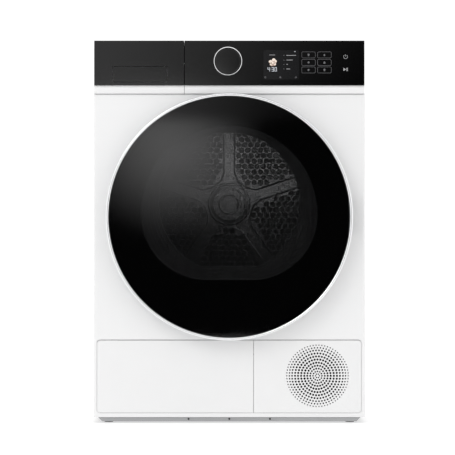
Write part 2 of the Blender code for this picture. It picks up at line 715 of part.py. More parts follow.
def make_rear_bearing():
    profile = [(0.0122, 0.2660), (0.026, 0.2660), (0.032, 0.2790), (0.045, 0.2800), (0.045, 0.2854),
               (0.0122, 0.2854)]
    piece("rear_bearing", turned(profile, (0, DRUM_Z), count=24, closed=True), STEEL, 0.4, 1.0)


# ---- Drive ----
def tangent_heading(start, start_turn, end, end_turn):
    """Heading of the belt between two wheels; a turn is the signed radius, positive when it turns left."""
    run = Vector(end) - Vector(start)
    return math.atan2(run.y, run.x) - math.asin((end_turn - start_turn) / run.length)


def make_drum_belt():
    half = BELT_THICKNESS / 2
    clear = half + GAP
    wheels = [((0, DRUM_Z), DRUM_RADIUS + clear, 56), (IDLER, -(IDLER_RADIUS + clear), 6),
              (MOTOR, PULLEY_RADIUS + clear, 10)]
    headings = []
    for index, (centre, turn, _) in enumerate(wheels):
        following, next_turn, _ = wheels[(index + 1) % len(wheels)]
        headings.append(tangent_heading(centre, turn, following, next_turn))
    inner, outer = [], []
    for index, (centre, turn, count) in enumerate(wheels):
        arrive, leave = headings[index - 1], headings[index]
        sweep = (leave - arrive) % math.tau if turn > 0 else -((arrive - leave) % math.tau)
        for step in range(count + 1):
            heading = arrive + sweep * step / count
            left = Vector((-math.sin(heading), math.cos(heading)))
            middle = Vector(centre) - turn * left
            inner.append(middle + half * left)
            outer.append(middle - half * left)
    piece("drum_belt", ring(outer, inner, BELT_Y), BLACK, 0.8)


def make_motor():
    y = (BRACKET_Y[1] + GAP, 0.150)
    bore = SHAFT_RADIUS + 0.0005
    profile = [(bore, y[0]), (0.020, y[0]), (0.022, y[0] + 0.006), (0.048, y[0] + 0.010),
               (0.052, y[0] + 0.016), (0.052, y[1] - 0.016), (0.048, y[1] - 0.008),
               (0.018, y[1] - 0.004), (0.016, y[1]), (bore, y[1])]
    piece("motor", turned(profile, MOTOR, count=20, closed=True), STEEL, 0.5, 0.8)


def make_motor_bracket():
    obj = piece("motor_bracket", block((0.040, 0.180), BRACKET_Y, (TRAY_FLOOR + GAP, 0.150)), STEEL, 0.4, 0.9)
    cut(obj, cylinder(MOTOR, 0.012, (0.025, 0.040), count=16))
    join(obj, block((0.040, 0.180), (BRACKET_Y[0] + 0.001, 0.090), (TRAY_FLOOR + GAP, TRAY_FLOOR + 0.003)))
    join(obj, cylinder(PIVOT, PIN_RADIUS, (0.0205, BRACKET_Y[0] + 0.001), count=12))


def make_motor_shaft():
    profile = [(PULLEY_RADIUS, PULLEY_Y[0]), (PULLEY_RADIUS, PULLEY_Y[1]),
               (SHAFT_RADIUS, PULLEY_Y[1] + 0.001), (SHAFT_RADIUS, 0.2450)]
    piece("motor_shaft", turned(profile, MOTOR, count=16), STEEL, 0.3, 1.0, (MOTOR[0], PULLEY_Y[0], MOTOR[1]))


def make_tensioner():
    outline = hull_of_circles(PIVOT, 0.010, IDLER, 0.008, 10)
    y = (0.0212, 0.0255)
    arm = piece("tensioner_arm", prism(outline, y), STEEL, 0.4, 0.9, (PIVOT[0], y[0], PIVOT[1]))
    cut(arm, cylinder(PIVOT, PIN_RADIUS + GAP, (0.018, 0.028), count=12))
    join(arm, cylinder(IDLER, 0.003, (PULLEY_Y[0], 0.0220), count=10))
    bore = 0.0033
    profile = [(bore, PULLEY_Y[0]), (IDLER_RADIUS, PULLEY_Y[0]), (IDLER_RADIUS, PULLEY_Y[1]),
               (bore, PULLEY_Y[1])]
    wheel = turned(profile, IDLER, count=20, closed=True)
    piece("idler_pulley", wheel, STEEL, 0.4, 0.9, (IDLER[0], PULLEY_Y[0], IDLER[1]))


# ---- Air path and heat pump ----
def make_blower():
    y = (0.1700, 0.2850)
    outer, wall = 0.068, 0.002
    profile = [(0.030, y[0]), (outer, y[0]), (outer, y[1]), (outer - wall, y[1]),
               (outer - wall, y[0] + wall), (0.030, y[0] + wall)]
    piece("blower_housing", turned(profile, MOTOR, count=24, closed=True), MID_GREY, 0.5)
    blades = 10
    outline = toothed_circle(MOTOR, 0.016, 0.060, blades, 0.22, 0.30)
    bore = circle(MOTOR, SHAFT_RADIUS + GAP, 4 * blades)
    wheel_y = (0.180, 0.2380)
    origin = (MOTOR[0], wheel_y[0], MOTOR[1])
    piece("blower_wheel", ring(outline, bore, wheel_y), DARK_GREY, 0.5, 0.0, origin)


def make_cooling_fan():
    y = (-0.2620, -0.2350)
    x = around(FAN[0], FAN_FRAME_HALF)
    z = around(FAN[1], FAN_FRAME_HALF)
    frame = piece("fan_frame", prism(rounded_rectangle(x, z, 0.010, 2), y), BLACK, 0.5)
    cut(frame, cylinder(FAN, 0.060, (y[0] - 0.002, y[1] + 0.002), count=32))
    bar = (y[1] - 0.003, y[1] - 0.0005)
    join(frame, block(around(FAN[0], 0.0610), bar, around(FAN[1], 0.003)))
    join(frame, block(around(FAN[0], 0.003), inset(bar, 0.0002), around(FAN[1], 0.0610)))
    join(frame, cylinder(FAN, 0.017, inset(bar, -0.0002), count=16))
    outline = toothed_circle(FAN, 0.017, 0.056, 7, 0.55, 0.20)
    wheel = prism(outline, (y[0] + 0.003, bar[0] - 0.001))
    piece("cooling_fan", wheel, DARK_GREY, 0.5, 0.0, (FAN[0], y[0], FAN[1]))


def make_heat_pump():
    profile = [(0.030, 0.0130), (0.050, 0.0180), (0.058, 0.0300), (0.060, 0.0450), (0.060, 0.1600),
               (0.056, 0.1740), (0.044, 0.1850), (0.020, 0.1900)]
    piece("compressor", turned(profile, COMPRESSOR, "z", 20), DARK_GREY, 0.4, 0.5)
    x = (-0.250, 0.020)
    fins, fin_depth = 14, 0.045
    z = (0.016, 0.165)
    for name, y in (("evaporator", (-0.245, -0.130)), ("condenser", (-0.110, 0.000))):
        piece(name, prism(comb_outline(x, y, fins, fin_depth), z, "z"), STEEL, 0.4, 1.0)
    plate = prism(rounded_rectangle(x, (0.046, 0.170), 0.012, 3), (-0.2620, -0.2563))
    cover = piece("exchanger_cover", plate, WHITE, 0.5)
    for x_lever in (-0.220, -0.010):
        join(cover, cylinder((x_lever, 0.108), 0.011, (-0.2665, -0.2610), count=16))
    route = [(0.205, -0.100, 0.1904), (0.205, -0.100, 0.1960), (0.204, -0.100, 0.2040),
             (0.190, -0.102, 0.2110), (0.130, -0.115, 0.2080), (0.060, -0.130, 0.1950),
             (0.006, -0.140, 0.1930), (-0.011, -0.141, 0.1860), (-0.0125, -0.141, 0.1757)]
    tube("refrigerant_pipe", route, 0.004, COPPER, 1.0, 0.3, 3)


def make_water_parts():
    case = block((-0.245, -0.195), (0.170, 0.230), (TRAY_FLOOR + GAP, 0.060))
    pump = piece("condensate_pump", case, DARK_GREY, 0.6)
    join(pump, cylinder((-0.220, 0.200), 0.020, (0.055, 0.085), "z", 16))
    join(pump, cylinder((-0.220, 0.200), 0.0055, (0.080, 0.0900), "z", 12))
    route = [(-0.220, 0.200, 0.0906), (-0.220, 0.200, 0.1000), (-0.220, 0.206, 0.1180),
             (-0.240, 0.250, 0.160), (-0.265, 0.2730, 0.220), (-0.270, 0.2735, 0.400),
             (-0.270, 0.2735, 0.600), (-0.262, 0.2720, 0.740), (-0.225, 0.2600, 0.790),
             (-0.200, 0.2400, 0.798), (-0.200, 0.2235, 0.798)]
    tube("drain_hose", route, 0.005, DARK_GREY, 0.0, 0.7, 3)


def make_service_flap():
    y = (FRONT_Y, FRONT_Y + INSERT_DEPTH)
    axis = (0, FRONT_Y, FLAP_AXIS_Z)
    plate = prism(rounded_rectangle(FLAP_X, INSERT_Z, INSERT_CORNER, 3), y)
    obj = piece("service_flap", plate, WHITE, 0.4, 0.0, axis)
    rib_x = inset(FLAP_X, 0.020)
    join(obj, ring(rectangle(rib_x, (0.045, 0.170)), rectangle(inset(rib_x, WALL), (0.048, 0.167)),
                   (y[1] - 0.001, y[1] + 0.006)))


def main():
    clear_scene()
    cabinet = (make_base_tray, make_feet, make_side_panels, make_front_panel, make_grille_panel,
               make_service_flap, make_rear_panel, make_rear_duct_cover, make_top_cover, make_cord_gland)
    controls = (make_control_housing, make_control_fascia, make_control_board, make_knob,
                make_tank_front, make_tank_fascia, make_grip_flap, make_water_tank)
    mouth = (make_front_bulkhead, make_rollers, make_door_seal, make_door_lock, make_lint_filter)
    door = (make_door_ring, make_door_glass, make_door_frame, make_door_bowl, make_door_hook, make_hinge)
    drum = (make_drum_shell, make_drum_back, make_drum_lifters, make_rear_bearing)
    works = (make_drum_belt, make_motor, make_motor_bracket, make_motor_shaft, make_tensioner,
             make_blower, make_cooling_fan, make_heat_pump, make_water_parts)
    for maker in cabinet + controls + mouth + door + drum + works:
        maker()


main()
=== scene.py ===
"""Looks of a free-standing heat-pump clothes dryer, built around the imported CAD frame.

Metres, +Z up, front facing -Y. Outlines are lists of (x, z) points unless a comment says otherwise.
"""
import json
import math

import bmesh
import bpy
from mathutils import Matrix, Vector
from mathutils.geometry import delaunay_2d_cdt

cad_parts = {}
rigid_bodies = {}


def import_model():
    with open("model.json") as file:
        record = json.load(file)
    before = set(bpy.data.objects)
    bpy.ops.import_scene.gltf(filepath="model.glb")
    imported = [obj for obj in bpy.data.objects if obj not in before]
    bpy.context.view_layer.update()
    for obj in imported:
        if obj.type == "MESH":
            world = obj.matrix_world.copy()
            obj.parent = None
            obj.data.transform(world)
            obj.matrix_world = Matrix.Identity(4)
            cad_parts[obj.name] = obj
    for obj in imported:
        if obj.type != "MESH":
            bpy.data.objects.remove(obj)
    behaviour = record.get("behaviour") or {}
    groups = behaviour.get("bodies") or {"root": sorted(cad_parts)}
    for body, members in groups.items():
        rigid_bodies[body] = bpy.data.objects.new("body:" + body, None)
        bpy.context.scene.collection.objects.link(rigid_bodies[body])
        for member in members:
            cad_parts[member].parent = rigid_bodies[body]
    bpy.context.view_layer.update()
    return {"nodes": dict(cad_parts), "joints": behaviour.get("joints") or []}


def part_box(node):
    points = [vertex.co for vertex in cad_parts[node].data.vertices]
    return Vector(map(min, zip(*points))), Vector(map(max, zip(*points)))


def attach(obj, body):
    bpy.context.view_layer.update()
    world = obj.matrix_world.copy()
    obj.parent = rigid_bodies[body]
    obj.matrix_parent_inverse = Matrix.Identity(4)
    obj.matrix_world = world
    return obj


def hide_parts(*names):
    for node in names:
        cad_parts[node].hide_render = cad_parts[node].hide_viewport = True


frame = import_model()


# ---- Places read from the frame ----
def middle(node, axis):
    low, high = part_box(node)
    return (low[axis] + high[axis]) / 2


def half_size(node, axis):
    low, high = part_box(node)
    return (high[axis] - low[axis]) / 2


def front_of(node):
    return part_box(node)[0].y


def back_of(node):
    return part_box(node)[1].y


def joint(name):
    return next(j for j in frame["joints"] if j["name"] == name)


DOOR = (middle("door_ring", 0), middle("door_ring", 2))
DOOR_RADIUS = half_size("door_ring", 0)
DRUM = (middle("drum_shell", 0), middle("drum_shell", 2))
DRUM_RADIUS = half_size("drum_shell", 0)
MOUTH_TOP_RADIUS = half_size("door_bowl", 0)
MOUTH_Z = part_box("door_bowl")[1].z - MOUTH_TOP_RADIUS
MOUTH_LOW_RADIUS = MOUTH_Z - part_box("door_bowl")[0].z
MOUTH_HALF_FLAT = MOUTH_TOP_RADIUS - MOUTH_LOW_RADIUS
FAN = (middle("fan_frame", 0), middle("fan_frame", 2))
KNOB = (middle("knob_ring", 0), middle("knob_ring", 2))
FASCIA_Y = front_of("control_fascia")
BAND_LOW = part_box("control_fascia")[0].z
GAP = 0.0003
SEAM_HALF_GAP = 0.0004

# ---- Detail sizes ----
ROUND = 128
PRINT_HEIGHT = 0.00012
NOTCH_HALF = 0.036
VENT_RINGS = (0.0044, 0.0099, 0.0162, 0.0226, 0.0292, 0.0362, 0.0430, 0.0497, 0.0563, 0.0621, 0.0679)
SPOKES = 5
SPOKE_HALF = 0.0145
HUB_FLAT = 0.058
SECTOR_RADIUS = 0.252
FIELD_MARGIN = 0.0065
DRUM_HOLE_PITCH = 0.015
DRUM_HOLE_RADIUS = 0.0048


# ---- Outlines ----
def arc(centre, radius, start, end, count):
    step = (end - start) / count
    return [
        (centre[0] + radius * math.cos(start + step * i), centre[1] + radius * math.sin(start + step * i))
        for i in range(count + 1)
    ]


def circle(centre, radius, count=32):
    return arc(centre, radius, 0.0, math.tau, count)[:-1]


def rectangle(x, z):
    return [(x[0], z[0]), (x[1], z[0]), (x[1], z[1]), (x[0], z[1])]


def cornered(x, z, corners):
    """A rectangle with a (radius, count) for each corner, counter-clockwise from its upper right."""
    quarter = math.pi / 2
    points = []
    for index, (radius, count) in enumerate(corners):
        centre = (x[0] + radius if index in (1, 2) else x[1] - radius,
                  z[0] + radius if index in (2, 3) else z[1] - radius)
        points += arc(centre, radius, quarter * index, quarter * (index + 1), count)
    return points


def rounded_rectangle(x, z, radius, count=6):
    return cornered(x, z, [(radius, count)] * 4)


def shifted(points, u, v):
    return [(u + du, v + dv) for du, dv in points]


def rib_outline(start, end, across):
    """The outline of a straight rib; across is half its width, as a vector."""
    return [tuple(p) for p in (start - across, end - across, end + across, start + across)]


def mouth_outline(offset, detail=1):
    """The D-shaped mouth: a half circle above, quarter circles and a flat below."""
    low = MOUTH_LOW_RADIUS + offset
    upper = arc((0, MOUTH_Z), MOUTH_TOP_RADIUS + offset, 0, math.pi, 48 * detail)
    left = arc((-MOUTH_HALF_FLAT, MOUTH_Z), low, math.pi, 1.5 * math.pi, 20 * detail)
    right = arc((MOUTH_HALF_FLAT, MOUTH_Z), low, 1.5 * math.pi, math.tau, 20 * detail)
    return upper + left[1:] + right[:-1]


def notched_circle(centre, radius, notch_x, half, count=ROUND):
    """A circle with a rectangular notch in its +X side."""
    edge = math.asin(half / radius)
    around = arc(centre, radius, edge, math.tau - edge, count)
    return around + [(notch_x, centre[1] - half), (notch_x, centre[1] + half)]


def grown(outline, distance):
    """The outline, counter-clockwise, moved outwards by a distance."""
    count = len(outline)
    result = []
    for index in range(count):
        before = Vector(outline[index - 1])
        here = Vector(outline[index])
        after = Vector(outline[(index + 1) % count])
        first = (here - before).normalized()
        second = (after - here).normalized()
        normal = Vector((first.y + second.y, -first.x - second.x)).normalized()
        stretch = max(0.35, normal.dot(Vector((first.y, -first.x))))
        result.append(tuple(here + normal * distance / stretch))
    return result


def inset(span, amount):
    return (span[0] + amount, span[1] - amount)


def about(centre, half):
    return (centre - half, centre + half)


# ---- Meshes ----
def place(u, v, w, axis):
    return {"x": (w, u, v), "y": (u, w, v), "z": (u, v, w)}[axis]


def skin(bm, loops, closed=False, caps=True):
    rings = [[bm.verts.new(point) for point in loop] for loop in loops]
    pairs = list(zip(rings, rings[1:]))
    if closed:
        pairs.append((rings[-1], rings[0]))
    for first, second in pairs:
        for index in range(len(first)):
            following = (index + 1) % len(first)
            bm.faces.new((first[index], first[following], second[following], second[index]))
    if caps and not closed:
        bm.faces.new(rings[0])
        bm.faces.new(rings[-1])
    return bm


def layered(steps, axis="y", closed=False):
    """A solid through (outline, level) steps with equal numbers of points."""
    loops = [[place(u, v, level, axis) for u, v in outline] for outline, level in steps]
    return skin(bmesh.new(), loops, closed)


def prism(outline, span, axis="y"):
    return layered([(outline, span[0]), (outline, span[1])], axis)


def quarter_round(outline, face, edge, turns):
    """Steps of a softened edge behind a face; a negative edge softens the face's other side."""
    steps = []
    for angle in map(math.radians, turns):
        smaller = grown(outline, -abs(edge) * (1 - math.sin(angle)))
        steps.append((smaller, face + edge * (1 - math.cos(angle))))
    return steps


def slab(outline, front, back, edge=0.0006):
    """A plate whose front edge is softened by a small quarter round."""
    return layered(quarter_round(outline, front, edge, (20, 55, 90)) + [(outline, back)])


def turned(profile, centre, axis="y", count=ROUND, closed=False):
    steps = [(circle(centre, radius, count), along) for radius, along in profile]
    return layered(steps, axis, closed)


def hoop(outer, inner, span, axis="y"):
    return layered([(outer, span[0]), (outer, span[1]), (inner, span[1]), (inner, span[0])], axis,
                   closed=True)


def flat_face(bm, outline, holes, level, axis):
    """Triangles that fill an outline and leave its holes open."""
    points, rims = [], []
    for rim in [outline] + holes:
        rims.append(list(range(len(points), len(points) + len(rim))))
        points += [Vector(p) for p in rim]
    coords, _, faces, _, _, origins = delaunay_2d_cdt(points, [], rims, 1, 1e-7)
    verts = [bm.verts.new(place(p.x, p.y, level, axis)) for p in coords]
    for face, owners in zip(faces, origins):
        if list(owners) == [0]:
            bm.faces.new([verts[i] for i in face])


def pierced(outline, holes, front, back, edge=0.0003, axis="y"):
    """A plate with holes; every edge of its front is softened by a small chamfer."""
    bm = bmesh.new()
    inward = 1 if back > front else -1
    flat_face(bm, grown(outline, -edge), [grown(h, edge) for h in holes], front, axis)
    flat_face(bm, outline, holes, back, axis)
    for rim, side in [(outline, -1)] + [(h, 1) for h in holes]:
        steps = [(grown(rim, side * edge), front), (rim, front + inward * edge), (rim, back)]
        loops = [[place(u, v, level, axis) for u, v in step] for step, level in steps]
        skin(bm, loops, caps=False)
    bmesh.ops.remove_doubles(bm, verts=bm.verts, dist=2e-6)
    return bm


def gather(*parts):
    """One mesh of several bodies."""
    merged = bmesh.new()
    for bm in parts:
        scratch = bpy.data.meshes.new("scratch")
        bmesh.ops.recalc_face_normals(bm, faces=bm.faces)
        bm.to_mesh(scratch)
        bm.free()
        merged.from_mesh(scratch)
        bpy.data.meshes.remove(scratch)
    return merged


def add(name, bm, material, body, replaces=(), angle=34, bevel=0.0, segments=3):
    """Put a mesh in the scene on its body, with its material."""
    bmesh.ops.recalc_face_normals(bm, faces=bm.faces)
    mesh = bpy.data.meshes.new(name)
    bm.to_mesh(mesh)
    bm.free()
    mesh.shade_smooth()
    mesh.set_sharp_from_angle(angle=math.radians(angle))
    mesh.materials.append(material)
    obj = bpy.data.objects.new(name, mesh)
    bpy.context.scene.collection.objects.link(obj)
    if bevel:
        modifier = obj.modifiers.new("Soft edges", "BEVEL")
        modifier.width = bevel
        modifier.segments = segments
        modifier.limit_method = "ANGLE"
        modifier.angle_limit = math.radians(40)
        modifier.harden_normals = False
    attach(obj, body)
    if replaces:
        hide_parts(*replaces)
    return obj


def carve(obj, *tools, operation="DIFFERENCE"):
    """Boolean with tool meshes, applied at once, before any soft-edge modifier."""
    kept = [(m.name, m.width, m.segments, m.angle_limit) for m in obj.modifiers]
    obj.modifiers.clear()
    for bm in tools:
        bmesh.ops.recalc_face_normals(bm, faces=bm.faces)
        mesh = bpy.data.meshes.new("tool")
        bm.to_mesh(mesh)
        bm.free()
        tool = bpy.data.objects.new("tool", mesh)
        bpy.context.scene.collection.objects.link(tool)
        modifier = obj.modifiers.new("cut", "BOOLEAN")
        modifier.operation = operation
        modifier.object = tool
        modifier.solver = "EXACT"
        bpy.context.view_layer.update()
        cut = bpy.data.meshes.new_from_object(obj.evaluated_get(bpy.context.evaluated_depsgraph_get()))
        obj.modifiers.clear()
        name = obj.data.name
        obj.data = cut
        obj.data.name = name
        bpy.data.objects.remove(tool)
    obj.data.shade_smooth()
    obj.data.set_sharp_from_angle(angle=math.radians(34))
    for name, width, segments, limit in kept:
        modifier = obj.modifiers.new(name, "BEVEL")
        modifier.width = width
        modifier.segments = segments
        modifier.limit_method = "ANGLE"
        modifier.angle_limit = limit
    return obj


# ---- Materials ----
class Nodes:
    """Short names for the node types that the materials use."""

    def __init__(self, name):
        self.material = bpy.data.materials.new(name)
        self.material.use_nodes = True
        self.tree = self.material.node_tree
        self.shader = self.tree.nodes["Principled BSDF"]
        self.position = self.tree.nodes.new("ShaderNodeTexCoord").outputs["Object"]

    def node(self, kind, **inputs):
        made = self.tree.nodes.new(kind)
        for key, value in inputs.items():
            made.inputs[key.replace("_", " ")].default_value = value
        return made

    def link(self, source, target):
        self.tree.links.new(source, target)

    def stretched(self, scale):
        mapping = self.node("ShaderNodeMapping", Scale=scale)
        self.link(self.position, mapping.inputs["Vector"])
        return mapping.outputs["Vector"]

    def noise(self, scale, detail=3.0, vector=None):
        made = self.node("ShaderNodeTexNoise", Scale=scale, Detail=detail)
        self.link(vector or self.position, made.inputs["Vector"])
        return made.outputs["Fac"]

    def cells(self, scale):
        made = self.node("ShaderNodeTexVoronoi", Scale=scale)
        self.link(self.position, made.inputs["Vector"])
        return made

    def spread(self, source, low, high, start=0.3, end=0.7):
        made = self.node("ShaderNodeMapRange", From_Min=start, From_Max=end, To_Min=low, To_Max=high)
        self.link(source, made.inputs["Value"])
        return made.outputs["Result"]

    def shades(self, source, dark, light, start=0.3, end=0.7):
        ramp = self.tree.nodes.new("ShaderNodeValToRGB")
        ramp.color_ramp.elements[0].position = start
        ramp.color_ramp.elements[1].position = end
        ramp.color_ramp.elements[0].color = (*dark, 1)
        ramp.color_ramp.elements[1].color = (*light, 1)
        self.link(source, ramp.inputs["Fac"])
        return ramp.outputs["Color"]

    def bump(self, source, strength, distance):
        made = self.node("ShaderNodeBump", Strength=strength, Distance=distance)
        self.link(source, made.inputs["Height"])
        self.link(made.outputs["Normal"], self.shader.inputs["Normal"])


def scaled(colour, factor):
    return tuple(min(1.0, c * factor) for c in colour)


def surface(name, colour, roughness, metallic=0.0, vary=0.03, patch=9.0, grain=900.0, depth=0.00004,
            rough_vary=0.05, stretch=None, coat=0.0, specular=None):
    """A surface with slow colour changes, uneven gloss and a fine grain."""
    nodes = Nodes(name)
    shader = nodes.shader
    slow = nodes.noise(patch, 4.0)
    vector = nodes.stretched(stretch) if stretch else None
    fine = nodes.noise(grain, 2.0, vector)
    nodes.link(nodes.shades(slow, scaled(colour, 1 - vary), scaled(colour, 1 + vary)),
               shader.inputs["Base Color"])
    nodes.link(nodes.spread(fine, roughness - rough_vary, roughness + rough_vary),
               shader.inputs["Roughness"])
    nodes.bump(fine, 0.5, depth)
    shader.inputs["Metallic"].default_value = metallic
    if coat:
        shader.inputs["Coat Weight"].default_value = coat
        shader.inputs["Coat Roughness"].default_value = 0.05
    if specular is not None:
        shader.inputs["Specular IOR Level"].default_value = specular
    return nodes.material


def zinc(name):
    """Galvanised sheet with its crystal spangle."""
    nodes = Nodes(name)
    spangle = nodes.cells(150.0)
    tone = nodes.node("ShaderNodeSeparateColor")
    nodes.link(spangle.outputs["Color"], tone.inputs["Color"])
    nodes.link(nodes.shades(tone.outputs["Red"], (0.50, 0.51, 0.52), (0.58, 0.59, 0.60), 0.0, 1.0),
               nodes.shader.inputs["Base Color"])
    nodes.link(nodes.spread(tone.outputs["Green"], 0.36, 0.46, 0.0, 1.0), nodes.shader.inputs["Roughness"])
    nodes.bump(nodes.noise(420.0), 0.3, 0.00003)
    nodes.shader.inputs["Metallic"].default_value = 0.9
    return nodes.material


def clear(name, colour, alpha, roughness):
    """Glass or clear plastic that lets part of what is behind it show through."""
    nodes = Nodes(name)
    slow = nodes.noise(5.0, 2.0)
    nodes.link(nodes.shades(slow, scaled(colour, 0.92), scaled(colour, 1.08)),
               nodes.shader.inputs["Base Color"])
    nodes.link(nodes.spread(nodes.noise(30.0), roughness * 0.8, roughness * 1.2),
               nodes.shader.inputs["Roughness"])
    nodes.shader.inputs["Alpha"].default_value = alpha
    nodes.shader.inputs["IOR"].default_value = 1.5
    return nodes.material


def glow(name, colour, strength):
    """A lit part of the display, a little uneven like a backlit panel."""
    nodes = Nodes(name)
    slow = nodes.noise(160.0, 2.0)
    nodes.link(nodes.shades(slow, scaled(colour, 0.85), colour), nodes.shader.inputs["Emission Color"])
    nodes.link(nodes.shades(slow, scaled(colour, 0.6), scaled(colour, 0.8)),
               nodes.shader.inputs["Base Color"])
    nodes.shader.inputs["Emission Strength"].default_value = strength
    nodes.shader.inputs["Roughness"].default_value = 0.4
    return nodes.material


ENAMEL = surface("white_enamel", (0.805, 0.805, 0.807), 0.36, vary=0.008, patch=3.0, grain=700.0,
                 depth=0.00002)
WHITE = surface("white_moulding", (0.795, 0.795, 0.797), 0.42, vary=0.01, grain=1500.0, depth=0.00002)
BLACK = surface("black_gloss", (0.0010, 0.0010, 0.0011), 0.07, vary=0.2, grain=260.0, depth=0.000002,
                rough_vary=0.02)
KNOB_BLACK = surface("knob_black", (0.0015, 0.0015, 0.0016), 0.12, vary=0.2, grain=900.0, depth=0.000003,
                     rough_vary=0.03)
GLASS = clear("door_pane_glass", (0.0006, 0.0006, 0.0007), 0.66, 0.035)
MASK = surface("printed_glass_border", (0.0008, 0.0008, 0.0008), 0.6, vary=0.1, specular=0.05)
BOWL = clear("bowl_glass", (0.05, 0.052, 0.055), 0.10, 0.04)
SILVER = surface("satin_silver", (0.86, 0.865, 0.875), 0.24, 1.0, vary=0.02, grain=1200.0, depth=0.000008)
CHROME = surface("polished_chrome", (0.92, 0.92, 0.93), 0.09, 1.0, vary=0.02, grain=600.0, depth=0.000003,
                 rough_vary=0.03)
DARK = surface("dark_moulding", (0.030, 0.030, 0.032), 0.55, vary=0.10, grain=1400.0, depth=0.00005)
GREY = surface("grey_moulding", (0.34, 0.345, 0.35), 0.52, vary=0.04, grain=1200.0, depth=0.00004)
MOUTH_GREY = surface("mouth_moulding", (0.30, 0.305, 0.31), 0.40, vary=0.04, grain=1200.0, depth=0.00003)
DRUM_STEEL = surface("drum_steel", (0.62, 0.625, 0.635), 0.30, 1.0, vary=0.05, grain=380.0, depth=0.00001,
                     stretch=(1.0, 14.0, 1.0))
BACK_STEEL = surface("drum_back_steel", (0.62, 0.625, 0.635), 0.33, 1.0, vary=0.05, grain=420.0,
                     depth=0.00001, stretch=(9.0, 1.0, 1.0))
ZINC = zinc("zinc_sheet")
RUBBER = surface("seal_rubber", (0.045, 0.045, 0.047), 0.72, vary=0.12, grain=800.0, depth=0.00008)
FOOT_RUBBER = surface("foot_rubber", (0.014, 0.014, 0.014), 0.8, vary=0.15, grain=700.0, depth=0.0001)
MOTOR_PAINT = surface("motor_paint", (0.10, 0.10, 0.105), 0.45, vary=0.1, grain=500.0, depth=0.00006)
FINS = surface("fin_aluminium", (0.75, 0.755, 0.76), 0.35, 1.0, vary=0.05, stretch=(30.0, 1.0, 1.0),
               grain=200.0, depth=0.00006)
COPPER = surface("copper_tube", (0.70, 0.34, 0.21), 0.28, 1.0, vary=0.12, patch=40.0, grain=300.0)
BOARD = surface("circuit_board", (0.015, 0.11, 0.045), 0.4, vary=0.2, patch=120.0, grain=900.0,
                depth=0.0001)
TANK = clear("tank_plastic", (0.60, 0.63, 0.65), 0.62, 0.30)
SCREW = surface("dark_screw", (0.02, 0.02, 0.021), 0.4, 0.6, vary=0.1)
PRINT = surface("white_print", (0.34, 0.34, 0.345), 0.5, vary=0.03)
DIM_PRINT = surface("grey_print", (0.115, 0.115, 0.12), 0.5, vary=0.05)
SCREEN = surface("display_glass", (0.0035, 0.0036, 0.0042), 0.14, vary=0.2, patch=30.0)
LIT = glow("display_lit", (0.80, 0.83, 0.88), 0.30)
WARM_LIT = glow("display_picture", (0.92, 0.80, 0.70), 0.26)
# Shade painted into the display picture: a darker, dimmer copy of its glow for the lower side of each puff.
PICTURE_SHADE_LIT = glow("display_folds", (0.50, 0.34, 0.26), 0.10)


# ---- Cabinet ----
def make_front_panel():
    low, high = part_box("front_panel")
    corner = 0.0035
    wall = 0.001
    outer = (arc((low.x + corner, low.y + corner), corner, math.pi, 1.5 * math.pi, 6)
             + arc((high.x - corner, low.y + corner), corner, 1.5 * math.pi, math.tau, 6))
    inner = (arc((high.x - corner, low.y + corner), corner - wall, math.tau, 1.5 * math.pi, 6)
             + arc((low.x + corner, low.y + corner), corner - wall, 1.5 * math.pi, math.pi, 6))
    outline = ([(low.x, high.y)] + outer + [(high.x, high.y), (high.x - wall, high.y)] + inner
               + [(low.x + wall, high.y)])
    obj = add("front_panel_skin", prism(outline, (low.z, high.z), "z"), ENAMEL, "cabinet",
              ("front_panel",), bevel=0.0005, segments=2)
    flap_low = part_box("service_flap")[0]
    grille_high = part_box("grille_panel")[1]
    plinth = rounded_rectangle((flap_low.x - 0.0005, grille_high.x + 0.0005),
                               (flap_low.z - 0.0006, grille_high.z + 0.0013), 0.008, 8)
    through = (low.y - 0.01, low.y + 0.006)
    hook_x = middle("door_lock", 0)
    carve(obj, prism(circle(DOOR, 0.215, ROUND), through), prism(plinth, through),
          prism(rounded_rectangle(about(hook_x, 0.0085), about(DOOR[1], 0.012), 0.002, 4), through))


def stamped(x, z, front, depth, margin, radius, wall, axis="y"):
    """A sheet with one large shallow recess pressed into it."""
    outline = rounded_rectangle(x, z, 0.0015, 4)
    hole = rounded_rectangle(inset(x, margin), inset(z, margin), radius, 10)
    inward = math.copysign(1.0, depth)
    bm = bmesh.new()
    flat_face(bm, outline, [hole], front, axis)
    flat_face(bm, outline, [hole], front + inward * wall, axis)
    skin(bm, [[place(u, v, level, axis) for u, v in outline] for level in (front, front + inward * wall)],
         caps=False)
    slope = abs(depth) * 2.5
    for lift in (0.0, inward * wall):
        steps = [(0.0, 0.0), (0.3, 0.12), (0.7, 0.88), (1.0, 1.0)]
        loops = [[place(u, v, front + lift + depth * down, axis) for u, v in grown(hole, -slope * along)]
                 for along, down in steps]
        skin(bm, loops, caps=False)
        bm.faces.new([bm.verts.new(point) for point in loops[-1]])
    bmesh.ops.remove_doubles(bm, verts=bm.verts, dist=2e-6)
    return bm


